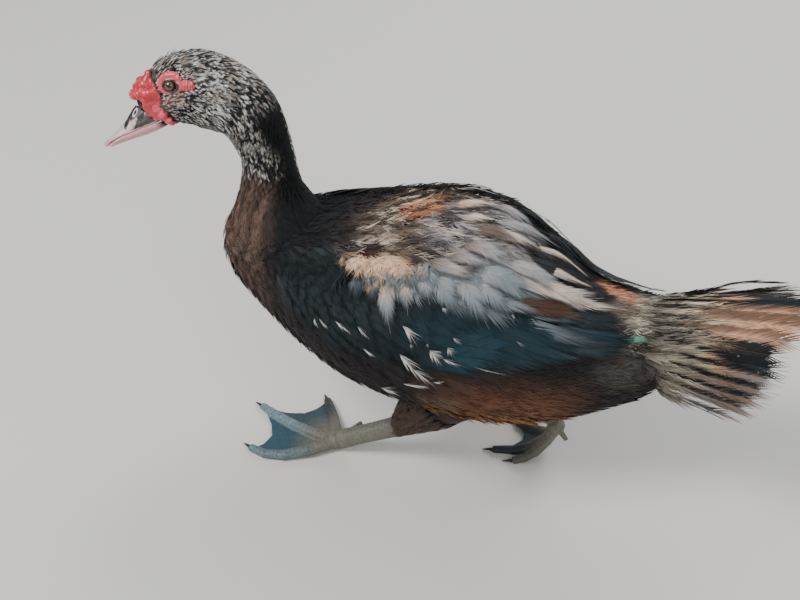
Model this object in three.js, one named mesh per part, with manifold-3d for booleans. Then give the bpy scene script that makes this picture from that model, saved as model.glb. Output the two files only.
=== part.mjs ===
// A young domestic muscovy drake in mid step, life size, in millimetres.
// The bird faces -X, its left side is -Y and it stands on the floor at z = 0.
// Its left foot is planted ahead and its right heel has just left the ground.
import * as THREE from "three";
import { mergeVertices } from "three/addons/utils/BufferGeometryUtils.js";
import Module from "manifold-3d";

const wasm = await Module();
wasm.setup();

// Named sizes of the whole bird
const GAP = 0.3; // between two pieces that touch
const BODY_SIDES = 30;
const BODY_ROUNDNESS = 2.2; // exponent of the body's cross sections, where 2 is an ellipse
const HEAD_SIDES = 24;
const HEAD_TURN = 27; // degrees towards the bird's left
const HEAD_DIP = 20; // degrees that the bill points down
const HEAD_ROLL = 29; // degrees that the left side is turned up
const EYE_RADIUS = 6.6;
const EYE_OFFSET = 16.5; // from the head's mid plane to an eye's centre

const rad = THREE.MathUtils.degToRad;
const vec = (x, y, z) => new THREE.Vector3(x, y, z);

// The body without its wings: x, half width, top, bottom, and the height of the widest point
const TORSO = [
  [-226, 0, 207, 207, 207],
  [-219, 22, 226, 186, 205],
  [-202, 42, 233, 163, 200],
  [-167, 60, 234, 137, 189],
  [-124, 78, 237, 112, 178],
  [-73, 96, 249, 93, 172],
  [-13, 103, 265, 83, 170],
  [42, 97, 261, 78, 166],
  [86, 81, 236, 79, 159],
  [125, 64, 212, 89, 155],
  [161, 53, 209, 109, 160],
  [190, 44, 209, 132, 170],
  [206, 26, 199, 156, 176],
  [212, 0, 180, 180, 180],
];

// The same body with a folded wing on each side
const WINGED = [
  [-190, 51, 234, 155, 197],
  [-172, 62, 236, 138, 191],
  [-145, 79, 238, 120, 184],
  [-110, 97, 244, 105, 177],
  [-60, 110, 257, 89, 172],
  [-13, 115, 269, 83, 170],
  [42, 108, 266, 78, 166],
  [86, 92, 241, 79, 160],
  [125, 73, 218, 89, 157],
  [161, 61, 214, 109, 163],
  [190, 53, 214, 132, 172],
  [222, 55, 214, 150, 180],
];

// Catmull-Rom value of a table's columns at u, counted in rows
function tableAt(rows, u) {
  const i = Math.min(Math.max(Math.floor(u), 0), rows.length - 2);
  const t = u - i;
  const row = (k) => rows[Math.min(Math.max(k, 0), rows.length - 1)];
  return rows[i].map((_, c) => {
    const [a, b, d, e] = [row(i - 1)[c], row(i)[c], row(i + 1)[c], row(i + 2)[c]];
    return b + 0.5 * t * (d - a + t * (2 * a - 5 * b + 4 * d - e + t * (3 * (b - d) + e - a)));
  });
}

// The place u in a table where its first column has the value x
function rowOf(rows, x) {
  let low = 0;
  let high = rows.length - 1;
  for (let k = 0; k < 40; k++) {
    const u = (low + high) / 2;
    if (tableAt(rows, u)[0] < x) low = u;
    else high = u;
  }
  return low;
}

// A closed mesh through rings of points, with one end point beyond the first ring and one beyond the last
function skin(rings, first, last) {
  const n = rings[0].length;
  const points = [first, ...rings.flat(), last];
  const faces = [];
  for (let k = 0; k < n; k++) {
    const next = (k + 1) % n;
    faces.push(0, 1 + next, 1 + k);
    for (let r = 0; r < rings.length - 1; r++) {
      const a = 1 + r * n;
      const b = a + n;
      faces.push(a + k, a + next, b + k, a + next, b + next, b + k);
    }
    const end = 1 + (rings.length - 1) * n;
    faces.push(end + k, end + next, points.length - 1);
  }
  const geometry = new THREE.BufferGeometry().setFromPoints(points);
  return geometry.setIndex(faces);
}

const power = (value, exponent) => Math.sign(value) * Math.abs(value) ** (2 / exponent);

// One ring round a centre: side and up are unit vectors, and the ring runs from the top over the side
function ring(centre, side, up, half, above, below, exponent = BODY_ROUNDNESS, sides = BODY_SIDES) {
  return Array.from({ length: sides }, (_, k) => {
    const angle = (2 * Math.PI * k) / sides;
    const out = power(Math.sin(angle), exponent) * half;
    const rise = power(Math.cos(angle), exponent) * (Math.cos(angle) > 0 ? above : below);
    return centre.clone().addScaledVector(side, out).addScaledVector(up, rise);
  });
}

const LEFT = vec(0, -1, 0);
const RIGHT = vec(0, 1, 0);
const UP = vec(0, 0, 1);

// A body table as a closed mesh, made thicker all over by grow
function bodyLoft(rows, perRow, grow = 0) {
  const rings = [];
  const count = (rows.length - 1) * perRow;
  for (let k = 1; k < count; k++) {
    const [x, half, top, bottom, mid] = tableAt(rows, k / perRow);
    rings.push(ring(vec(x, 0, mid), LEFT, UP, half + grow, top - mid + grow, mid - bottom + grow));
  }
  const first = rows[0];
  const last = rows[rows.length - 1];
  return skin(rings, vec(first[0] - grow, 0, first[4]), vec(last[0] + grow, 0, last[4]));
}

// The frame of a tube at u, counted in stations: centre, side, up, half width and depths above and below
function sectionAt(stations, u) {
  const flat = stations.map(({ centre, side: across, half, above, below = above }) => [
    ...centre.toArray(),
    ...across.toArray(),
    half,
    above,
    below,
  ]);
  const last = stations.length - 1;
  const place = (v) => vec(...tableAt(flat, THREE.MathUtils.clamp(v, 0, last)).slice(0, 3));
  const row = tableAt(flat, u);
  const ahead = place(u + 0.25).sub(place(u - 0.25)).normalize();
  const side = vec(row[3], row[4], row[5]);
  side.addScaledVector(ahead, -side.dot(ahead)).normalize();
  const up = ahead.clone().cross(side).normalize();
  return { centre: place(u), ahead, side, up, half: row[6], above: row[7], below: row[8] };
}

const LIMB_ROUNDNESS = 2.1;
// A closed tube of stations, made thicker all over by grow
function limb(stations, perSpan, grow = 0, sides = HEAD_SIDES) {
  const count = (stations.length - 1) * perSpan;
  const sections = Array.from({ length: count + 1 }, (_, k) => sectionAt(stations, k / perSpan));
  const rings = sections.map((s) =>
    ring(s.centre, s.side, s.up, s.half + grow, s.above + grow, s.below + grow, LIMB_ROUNDNESS, sides),
  );
  const [first, last] = [sections[0], sections[count]];
  const start = first.centre.clone().addScaledVector(first.ahead, -grow);
  const end = last.centre.clone().addScaledVector(last.ahead, grow);
  return skin(rings, start, end);
}

// A feather's vane: a thin closed blade, thickest along its shaft. Each station has its place, its outward
// direction and its share of the width
const VANE_ABOVE = 0.6; // share of the thickness that stands out over the shaft line
function vane(stations, width, thickness) {
  const rings = [];
  const place = (k) => stations[THREE.MathUtils.clamp(k, 0, stations.length - 1)].at;
  for (let k = 1; k < stations.length - 1; k++) {
    const { at, out, share } = stations[k];
    const ahead = place(k + 1).clone().sub(place(k - 1)).normalize();
    const across = ahead.clone().cross(out).normalize();
    const raised = across.clone().cross(ahead).normalize();
    const half = (share * width) / 2;
    rings.push([
      at.clone().addScaledVector(across, -half),
      at.clone().addScaledVector(raised, thickness * VANE_ABOVE),
      at.clone().addScaledVector(across, half),
      at.clone().addScaledVector(raised, thickness * (VANE_ABOVE - 1)),
    ]);
  }
  return solid(skin(rings, place(0), place(stations.length - 1)));
}
// Along a vane: how far from root to tip, and the share of the full width there
const VANE_SHARES = [
  [0, 0],
  [0.3, 0.85],
  [0.82, 0.95],
  [1, 0],
];

// A direction turned by some degrees about the line that runs along the body
const tilted = (out, degrees) => out.clone().applyAxisAngle(vec(1, 0, 0), rad(degrees));

// A seeded draw from -1 to 1
let seed = 3;
function jitter() {
  seed = (seed * 16807) % 2147483647;
  return (2 * seed) / 2147483647 - 1;
}

// Solids of manifold-3d, for joining and cutting
function solid(geometry) {
  const bare = new THREE.BufferGeometry().setAttribute("position", geometry.getAttribute("position"));
  bare.setIndex(geometry.index);
  const merged = mergeVertices(bare, 1e-4);
  const made = new wasm.Manifold(
    new wasm.Mesh({
      numProp: 3,
      vertProperties: new Float32Array(merged.attributes.position.array),
      triVerts: new Uint32Array(merged.index.array),
    }),
  );
  if (made.volume() > 0) return made;
  const flipped = merged.index.array.slice().reverse();
  return new wasm.Manifold(
    new wasm.Mesh({
      numProp: 3,
      vertProperties: new Float32Array(merged.attributes.position.array),
      triVerts: new Uint32Array(flipped),
    }),
  );
}
const join = (list) => list.reduce((all, one) => all.add(one));

// The largest closed piece of a solid
function largest(made) {
  return made.decompose().sort((a, b) => b.volume() - a.volume())[0];
}

function geometryOf(made) {
  const { vertProperties, triVerts, numProp } = made.getMesh();
  const points = [];
  for (let k = 0; k < vertProperties.length; k += numProp) {
    points.push(vec(vertProperties[k], vertProperties[k + 1], vertProperties[k + 2]));
  }
  const geometry = new THREE.BufferGeometry().setFromPoints(points).setIndex([...triVerts]);
  geometry.computeVertexNormals();
  return geometry;
}

const duck = new THREE.Group();
function addNode(name, made, material) {
  const mesh = new THREE.Mesh(geometryOf(largest(made)), material);
  mesh.name = name;
  duck.add(mesh);
}
const finish = (color, roughness, metalness = 0) =>
  new THREE.MeshStandardMaterial({ color, roughness, metalness });

const plumage = finish(0x2e2522, 0.85);
const wingFeather = finish(0x3d4a4e, 0.7);
const tailFeather = finish(0x6b4a38, 0.8);
const headFeather = finish(0x3a3a3c, 0.85);
const redSkin = finish(0xd8505a, 0.5);
const billHorn = finish(0xb09a98, 0.4);
const eyeball = finish(0x3a2412, 0.1);
const footSkin = finish(0x3f5d70, 0.6);
const clawHorn = finish(0x222120, 0.45);

// Torso
const torso = (grow) => solid(bodyLoft(TORSO, 1, grow));
addNode("torso", torso(0), plumage);
const torsoRoom = torso(GAP);

// Head frame: its own forward is -x, its own left is -y, and its origin is midway between the eyes
const HEAD_PLACE = vec(-251.4, -26, 367);
const headFrame = new THREE.Matrix4()
  .makeTranslation(HEAD_PLACE)
  .multiply(new THREE.Matrix4().makeRotationZ(rad(HEAD_TURN)))
  .multiply(new THREE.Matrix4().makeRotationY(rad(-HEAD_DIP)))
  .multiply(new THREE.Matrix4().makeRotationX(rad(-HEAD_ROLL)));
const inHead = (forward, left, up) => vec(-forward, -left, up).applyMatrix4(headFrame);
const headSide = RIGHT.clone().transformDirection(headFrame);

// Skull and neck are one loft: half is across, above and below are in the profile
const headStation = (forward, up, half, below, above) => ({
  centre: inHead(forward, 0, up),
  side: headSide,
  half,
  above,
  below,
});
const neckStation = (x, y, z, half, below, above, twist) => ({
  centre: vec(x, y, z),
  side: RIGHT.clone().lerp(headSide, twist).normalize(),
  half,
  above,
  below,
});
const HEAD_STATIONS = [
  headStation(34, -11, 5, 5, 5),
  headStation(30, -9, 10, 11, 13),
  headStation(22, -8, 14, 20, 22),
  headStation(10, -8, 18.5, 25, 29),
  headStation(-5, -8, 21.5, 29, 33),
  headStation(-22, -12, 24, 33, 34),
  headStation(-40, -24, 25.5, 33, 31),
  headStation(-54, -45, 25.5, 29, 27),
];
const NECK_STATIONS = [
  neckStation(-178, -4, 312, 24.5, 24.5, 24.5, 0.35),
  neckStation(-175, -1, 288, 24, 24.5, 24.5, 0.15),
  neckStation(-174, 0, 262, 27, 30, 28, 0),
  neckStation(-171, 0, 236, 37, 43, 38, 0),
  neckStation(-164, 0, 208, 46, 56, 48, 0),
  neckStation(-152, 0, 185, 48, 58, 50, 0),
];
const HEAD_AND_NECK = [...HEAD_STATIONS, ...NECK_STATIONS];
const headNeck = (grow) => solid(limb(HEAD_AND_NECK, 2, grow));

// The nape cut parts the head from the neck, square to the neck's own run
const CUT_POINT = vec(-190, -9, 322);
const CUT_NORMAL = vec(0.45, 0.1, -0.89).normalize();
const neckPart = headNeck(0).trimByPlane(CUT_NORMAL.toArray(), CUT_NORMAL.dot(CUT_POINT) + GAP / 2);
const aboveNape = (made) =>
  made.trimByPlane(CUT_NORMAL.clone().negate().toArray(), -CUT_NORMAL.dot(CUT_POINT) + GAP / 2);
addNode("neck", neckPart.subtract(torsoRoom), plumage);

// A point of the skull and neck's surface, lifted along its outward direction
function onHead(u, angle, lift) {
  const s = sectionAt(HEAD_AND_NECK, u);
  const a = rad(angle);
  const across = power(Math.sin(a), LIMB_ROUNDNESS) * s.half;
  const rise = power(Math.cos(a), LIMB_ROUNDNESS) * (Math.cos(a) > 0 ? s.above : s.below);
  const out = s.side.clone().multiplyScalar(Math.sin(a)).addScaledVector(s.up, Math.cos(a)).normalize();
  const at = s.centre.clone().addScaledVector(s.side, across).addScaledVector(s.up, rise);
  return { at: at.addScaledVector(out, lift), out };
}

// Eyes, which look a little forward and up
const eyeCentre = (side) => inHead(0, side * EYE_OFFSET, 0);
const EYE_SIDES = 14;
const sphere = (centre, radius, sides) =>
  solid(new THREE.SphereGeometry(radius, sides, sides / 2).translate(centre.x, centre.y, centre.z));
const eyeRoom = join([1, -1].map((side) => sphere(eyeCentre(side), EYE_RADIUS + GAP, EYE_SIDES)));
addNode("eye_left", sphere(eyeCentre(1), EYE_RADIUS, EYE_SIDES), eyeball);
addNode("eye_right", sphere(eyeCentre(-1), EYE_RADIUS, EYE_SIDES), eyeball);

// Bill: forward, the culmen's height, the mouth line's height, half width and depth below the mouth line
const BILL = [
  [20, -3, -25.4, 9, 5.5],
  [30, -1, -25.4, 11, 6.5],
  [40, -6.5, -25.6, 10.6, 6.5],
  [50, -14, -25.8, 10, 5.8],
  [60, -19.5, -26, 10.4, 5],
  [68, -22.6, -27, 10.8, 4],
  [74, -25, -29.5, 8, 1.6],
];
const MOUTH_GAP = 0.5;
const LOWER_SHORTER = 3; // the lower half ends behind the nail
const LIP = 0.8; // depth of the upper half's edge below its mouth line
const LOWER_INSET = 1.2; // the lower half is narrower by this on each side
const BILL_SIDES = 18;
const NOSTRIL = { forward: 39, left: 8.6, up: -11, slope: 30, length: 3.6, height: 1.7, depth: 3 };
const NAIL = { forward: 69.5, up: -24.2, slope: 24, length: 6, half: 4.2, height: 2.6 };

const billSide = headSide.clone().negate();
const upperStation = ([forward, culmen, mouth, half]) => ({
  centre: inHead(forward, 0, mouth + LIP),
  side: billSide,
  half,
  above: culmen - mouth - LIP,
  below: LIP,
});
const lowerStation = ([forward, , mouth, half, depth]) => ({
  centre: inHead(forward - LOWER_SHORTER, 0, mouth - LIP),
  side: billSide,
  half: half - LOWER_INSET,
  above: LIP - MOUTH_GAP,
  below: depth - LIP,
});
const upperBill = (grow) => solid(limb(BILL.map(upperStation), 1, grow, BILL_SIDES));
const lowerBill = (grow) => solid(limb(BILL.map(lowerStation), 1, grow, BILL_SIDES));
const inHeadSolid = (geometry, forward, left, up) => {
  const place = headFrame.clone().multiply(new THREE.Matrix4().makeTranslation(-forward, -left, up));
  return solid(geometry.applyMatrix4(place));
};
const nostrils = [1, -1].map((side) => {
  const hole = new THREE.OctahedronGeometry(1, 1).scale(NOSTRIL.length, NOSTRIL.depth, NOSTRIL.height);
  return inHeadSolid(hole.rotateY(rad(-NOSTRIL.slope)), NOSTRIL.forward, side * NOSTRIL.left, NOSTRIL.up);
});
const nailShape = new THREE.SphereGeometry(1, 8, 6).scale(NAIL.length, NAIL.half, NAIL.height);
const nail = inHeadSolid(nailShape.rotateY(rad(-NAIL.slope)), NAIL.forward, 0, NAIL.up);
const headRoom = headNeck(GAP);
const upperRoom = upperBill(GAP);
addNode("bill_upper", upperBill(0).add(nail).subtract(headRoom).subtract(join(nostrils)), billHorn);
addNode("bill_lower", lowerBill(0).subtract(headRoom).subtract(upperRoom), billHorn);
const billRoom = upperRoom.add(lowerBill(GAP));

// Lids: a ring of skin round each eye, with folds behind and below it
const LID_RING = 6.7;
const LID_THICKNESS = 1.9;
const LID_OUT = 4; // from an eye's centre to the plane of its lids
const LID_TURN = 14; // degrees that this plane is turned to the front
const LID_TIP = 8; // degrees that it is tipped up
const LID_FOLDS = [
  // forward, up, out from the eye's centre, length, height
  [-10.5, 1.5, 4.2, 6.5, 3.6],
  [-5, -7, 3.8, 5, 2.2],
];
const FOLD_DEPTH = 2.4;
const lids = (side) => {
  const ringShape = new THREE.TorusGeometry(LID_RING, LID_THICKNESS, 6, 14).rotateX(Math.PI / 2);
  ringShape.translate(0, -side * LID_OUT, 0).rotateX(rad(side * LID_TIP)).rotateZ(rad(side * LID_TURN));
  ringShape.translate(0, -side * EYE_OFFSET, 0);
  const folds = LID_FOLDS.map(([forward, up, out, length, height]) => {
    const lump = new THREE.OctahedronGeometry(1, 1).scale(length, FOLD_DEPTH, height);
    return inHeadSolid(lump, forward, side * (EYE_OFFSET + out), up);
  });
  return join([solid(ringShape.applyMatrix4(headFrame)), ...folds]);
};
for (const side of [1, -1]) {
  const made = lids(side).subtract(headRoom).subtract(eyeRoom);
  addNode(side > 0 ? "eyelid_left" : "eyelid_right", made, redSkin);
}

// Caruncle: bare red skin between eyes and bill, a thin shell over the skull that carries bulbs and folds
// The shell's outline in profile, as forward and up
const FACE_OUTLINE = [
  [44, 12], [24, 24], [8, 14], [-6, 9], [-14, 0], [-8, -8], [3, -11], [4, -24], [10, -31], [44, -31],
];
// The opening round an eye and its lids, as forward and up
const EYE_OPENING = [
  [9.2, 0], [6.6, 6.4], [0, 9.2], [-6.4, 7.6], [-12, 6.4],
  [-17.5, 1.5], [-12, -4], [-9, -9.4], [-3, -10.2], [6.6, -6.8],
];
const FACE_THICKNESS = 1.6;
const FACE_SIDES = 18;
const FACE_REACH = 30; // a cutting prism's reach to each side, past the skull
const BULBS = [
  // forward, left, up, radius
  [33.5, 0, 4.2, 5.4],
  [27, 6, 8, 5],
  [19, 10.5, 11, 4.6],
  [21, 13, 1.5, 5],
  [17, 15.5, -8, 4.8],
  [15.5, 14.5, -17.5, 4.8],
];
function headPrism(outline) {
  const shape = new THREE.Shape(outline.map(([forward, up]) => new THREE.Vector2(forward, up)));
  const slab = new THREE.ExtrudeGeometry(shape, { depth: 2 * FACE_REACH, bevelEnabled: false });
  const place = slab.getAttribute("position");
  for (let k = 0; k < place.count; k++) {
    const point = inHead(place.getX(k), place.getZ(k) - FACE_REACH, place.getY(k));
    place.setXYZ(k, point.x, point.y, point.z);
  }
  return solid(slab);
}
const bulbs = BULBS.flatMap(([forward, left, up, radius]) => {
  const places = left > 0 ? [left, -left] : [0];
  return places.map((at) => inHeadSolid(new THREE.OctahedronGeometry(radius, 1), forward, at, up));
});
const faceShell = solid(limb(HEAD_STATIONS, 1, FACE_THICKNESS, FACE_SIDES)).intersect(headPrism(FACE_OUTLINE));
const faceSkin = join([faceShell.subtract(headPrism(EYE_OPENING)), ...bulbs])
  .subtract(headRoom)
  .subtract(billRoom);
addNode("caruncle", faceSkin, redSkin);

// Crest: short raised feathers in rows from the forehead to the nape. Each row is a place along the head,
// the count of feathers, the angle it spans to each side, the length and how far the tips stand out
const CREST = [
  [4.0, 3, 20, 18, 2.4],
  [4.6, 4, 34, 21, 3],
  [5.2, 5, 44, 23, 3.4],
  [5.9, 4, 44, 23, 3.4],
];
const CREST_WIDTH = 14;
const CREST_THICKNESS = 1;
const CREST_ROOT = 2; // how deep a crest feather is rooted
const HEAD_STEP = 17; // mean distance between two stations
const crest = CREST.flatMap(([u, count, spread, length, rise]) =>
  Array.from({ length: count }, (_, k) => {
    const angle = spread * ((2 * k) / (count - 1) - 1) + 3 * jitter();
    const reach = (length * (1 + 0.12 * jitter())) / HEAD_STEP;
    const stations = VANE_SHARES.map(([t, share]) => {
      const lift = (CREST_ROOT + rise) * t ** 1.3 - CREST_ROOT;
      return { ...onHead(u + reach * t, angle * (1 + 0.15 * t), lift), share };
    });
    return vane(stations, CREST_WIDTH, CREST_THICKNESS);
  }),
);
addNode("head", aboveNape(headNeck(0).subtract(eyeRoom).add(join(crest))), headFeather);

// Legs. A leg's path is its foot joint, its hock and the points of its thigh
const LEGS = {
  left: {
    side: 1,
    heel: vec(-97, -53, 9),
    hock: vec(-28, -46, 47),
    thigh: [vec(-10, -44, 73), vec(20, -44, 104)],
    toes: [
      { tip: vec(-130, 4, 0), bend: vec(-112, -18, 1) },
      { tip: vec(-189, -27, 0), bend: vec(-140, -50, 1) },
      { tip: vec(-176, -85, 0), bend: vec(-142, -102, 1) },
    ],
    hallux: vec(-83, -20, 7),
  },
  right: {
    side: -1,
    heel: vec(109, 6, 44),
    hock: vec(74, 44, 82),
    thigh: [vec(58, 47, 96), vec(34, 46, 116)],
    toes: [
      { tip: vec(73, -14, 0), bend: vec(96, -8, 4) },
      { tip: vec(50, -6, 0), bend: vec(96, 2, 0) },
      { tip: vec(62, 38, 0), bend: vec(104, 24, 4) },
    ],
    hallux: vec(121, 2, 32),
  },
};
const TOE_RADII = [7.4, 6.4, 5.6, 4.9, 3.9];
const TOE_FLATNESS = 0.85; // a toe's depth as a share of its width
const TOE_HEIGHT = 2.6; // from the floor to a toe's middle
const CLAW = { length: 10, rooted: 3, half: [2.6, 1.6, 0.6], depth: [2.5, 1.55, 0.6], drop: 1.6 };
const HALLUX_HALF = [3.6, 2.9, 2.4];
const WEB_THICKNESS = 2.2;
const WEB_DROP = 1.2; // a web's middle below the toes' middles
const WEB_START = 0.06; // where a web begins and ends along its toes, and how far its edge is bowed in
const WEB_LENGTH = 0.9;
const WEB_BOW = 0.2;
const HEEL_RADIUS = 9;
const ANKLE_CUT = 5; // from the foot joint up to the cut between foot and shank
const SHANK_HALF = [9.4, 8.8, 8.8, 9.2, 10];
const SHANK_DEPTH = 1.06; // a shank's depth as a share of its width
const THIGH = [
  // half width and half depth at the hock, in the middle and at the root
  [11, 11],
  [22, 25],
  [28, 34],
];
const KNEE_START = 0.08; // where the feathers begin below the hock, as a share of the shank

function toePath(leg, toe) {
  const up = vec(0, 0, TOE_HEIGHT);
  return new THREE.QuadraticBezierCurve3(leg.heel, toe.bend.clone().add(up), toe.tip.clone().add(up));
}
const flatSide = (ahead) => UP.clone().cross(ahead).normalize();
function toeSolid(leg, toe, grow) {
  const path = toePath(leg, toe);
  const stations = TOE_RADII.map((half, k) => {
    const t = k / (TOE_RADII.length - 1);
    return { centre: path.getPoint(t), side: flatSide(path.getTangent(t)), half, above: half * TOE_FLATNESS };
  });
  return solid(limb(stations, 1, grow, 8));
}
function clawSolid(leg, toe) {
  const path = toePath(leg, toe);
  const ahead = path.getTangent(1).setZ(0).normalize();
  const root = path.getPoint(1).addScaledVector(ahead, -CLAW.rooted);
  const stations = CLAW.half.map((half, k) => {
    const t = k / (CLAW.half.length - 1);
    const centre = root.clone().addScaledVector(ahead, t * (CLAW.length + CLAW.rooted));
    centre.z -= CLAW.drop * t * t;
    return { centre, side: flatSide(ahead), half, above: CLAW.depth[k] };
  });
  return solid(limb(stations, 1, 0, 6));
}
function halluxSolid(leg) {
  const side = flatSide(leg.hallux.clone().sub(leg.heel));
  const stations = HALLUX_HALF.map((half, k) => {
    const centre = leg.heel.clone().lerp(leg.hallux, k / (HALLUX_HALF.length - 1));
    return { centre, side, half, above: half };
  });
  return solid(limb(stations, 1, 0, 8));
}
// The web between two toes: a sheet with a bowed front edge
function webSolid(leg, a, b) {
  const [pathA, pathB] = [toePath(leg, a), toePath(leg, b)];
  const [along, across] = [5, 4];
  const columns = across + 1;
  const sheet = (lift) => {
    const points = [];
    for (let i = 0; i <= along; i++) {
      for (let j = 0; j <= across; j++) {
        const v = j / across;
        const t = WEB_START + (i / along) * (WEB_LENGTH - WEB_BOW * Math.sin(Math.PI * v));
        points.push(pathA.getPoint(t).lerp(pathB.getPoint(t), v).addScaledVector(UP, lift - WEB_DROP));
      }
    }
    return points;
  };
  const top = sheet(WEB_THICKNESS / 2);
  const low = top.length;
  const faces = [];
  const quad = (p, q, r, s) => faces.push(p, q, r, p, r, s);
  for (let i = 0; i < along; i++) {
    for (let j = 0; j < across; j++) {
      const k = i * columns + j;
      quad(k, k + columns, k + columns + 1, k + 1);
      quad(low + k, low + k + 1, low + k + columns + 1, low + k + columns);
    }
    const first = i * columns;
    const last = first + across;
    quad(first, low + first, low + first + columns, first + columns);
    quad(last, last + columns, low + last + columns, low + last);
  }
  for (let j = 0; j < across; j++) {
    const k = along * columns + j;
    quad(j, j + 1, low + j + 1, low + j);
    quad(k, low + k, low + k + 1, k + 1);
  }
  const points = [...top, ...sheet(-WEB_THICKNESS / 2)];
  return solid(new THREE.BufferGeometry().setFromPoints(points).setIndex(faces));
}
for (const [name, leg] of Object.entries(LEGS)) {
  const [toeTwo, toeThree, toeFour] = leg.toes;
  const wholeFoot = join([
    ...leg.toes.map((toe) => toeSolid(leg, toe, 0)),
    webSolid(leg, toeTwo, toeThree),
    webSolid(leg, toeThree, toeFour),
    sphere(leg.heel, HEEL_RADIUS, 10),
    halluxSolid(leg),
  ]);
  const shin = leg.hock.clone().sub(leg.heel).normalize();
  const ankle = shin.dot(leg.heel) + ANKLE_CUT;
  const shankStations = SHANK_HALF.map((half, k) => {
    const centre = leg.heel.clone().lerp(leg.hock, k / (SHANK_HALF.length - 1));
    return { centre, side: LEFT, half, above: half * SHANK_DEPTH };
  });
  const shank = (grow) => solid(limb(shankStations, 1, grow, 14));
  const shankRoom = shank(GAP).trimByPlane(shin.toArray(), ankle - GAP);
  addNode(`foot_${name}`, wholeFoot.subtract(shankRoom).trimByPlane(UP.toArray(), 0), footSkin);
  leg.toes.forEach((toe, k) => {
    const claw = clawSolid(leg, toe).subtract(toeSolid(leg, toe, GAP)).trimByPlane(UP.toArray(), 0);
    addNode(`claw_${name}_${k + 2}`, claw, clawHorn);
  });
  addNode(`shank_${name}`, shank(0).trimByPlane(shin.toArray(), ankle).subtract(torsoRoom), footSkin);
  const thighCentres = [leg.hock.clone().lerp(leg.heel, KNEE_START), ...leg.thigh];
  const thighStations = THIGH.map(([half, above], k) => ({ centre: thighCentres[k], side: LEFT, half, above }));
  const thigh = solid(limb(thighStations, 3, 0, 18)).subtract(torsoRoom).subtract(shank(GAP));
  addNode(`thigh_${name}`, thigh, plumage);
}

// Wings: each row is x and the angles of the upper and the lower edge, from the top of the back over the side
const WING = [
  [-146, 38, 48],
  [-138, 30, 60],
  [-120, 25, 70],
  [-80, 22, 80],
  [-30, 19, 89],
  [10, 15, 88],
  [50, 13, 80],
  [86, 13, 60],
  [120, 17, 50],
  [153, 25, 45],
  [184, 34, 44],
];
const WING_EDGE = 2; // how far a wing's edge stands off the body
const WING_SINK = 9; // how deep its inner face starts inside the body
const WING_DEPTH = 2.5; // from the outline to the flesh under the feathers
const CORE_STEPS = 7;
const axisPoint = (x) => vec(x, 0, tableAt(WINGED, rowOf(WINGED, x))[4]);
const bodyPoint = (rows, x, angle, side) => {
  const [, half, top, bottom, mid] = tableAt(rows, rowOf(rows, x));
  const a = rad(angle);
  const rise = power(Math.cos(a), BODY_ROUNDNESS) * (Math.cos(a) > 0 ? top - mid : mid - bottom);
  return vec(x, -side * power(Math.sin(a), BODY_ROUNDNESS) * half, mid + rise);
};
// A point over the folded wing, lifted from its outline, and the direction away from the body
function onWing(x, angle, lift, side) {
  const far = bodyPoint(WINGED, x, angle, side);
  const out = far.clone().sub(axisPoint(x)).normalize();
  return { at: far.addScaledVector(out, lift), out };
}
const BULGE_END = 0.6; // where across the wing its full thickness is reached
function wingCore(side) {
  const rings = WING.map(([x, upper, lower]) => {
    const outer = [];
    const inner = [];
    for (let j = 0; j <= CORE_STEPS; j++) {
      const v = j / CORE_STEPS;
      const angle = upper + (lower - upper) * v;
      const near = bodyPoint(TORSO, x, angle, side);
      const { at, out } = onWing(x, angle, -WING_DEPTH, side);
      near.addScaledVector(out, WING_EDGE);
      const rounded = Math.sqrt(1 - (Math.max(0, v - BULGE_END) / (1 - BULGE_END)) ** 2);
      const bulge = THREE.MathUtils.smoothstep(v, 0, BULGE_END) * rounded;
      const point = near.lerp(at, bulge);
      const depth = WING_SINK * (1 + Math.sin(Math.PI * v));
      outer.push(point);
      inner.push(point.clone().addScaledVector(out, -depth));
    }
    return [...outer, ...inner.reverse()];
  });
  const centre = (list) => list.reduce((sum, p) => sum.add(p), vec(0, 0, 0)).divideScalar(list.length);
  const [front, back] = [centre(rings[0]), centre(rings[rings.length - 1])];
  return solid(skin(rings, front.add(vec(-1, 0, 0)), back.add(vec(1, 0, 0))));
}

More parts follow.
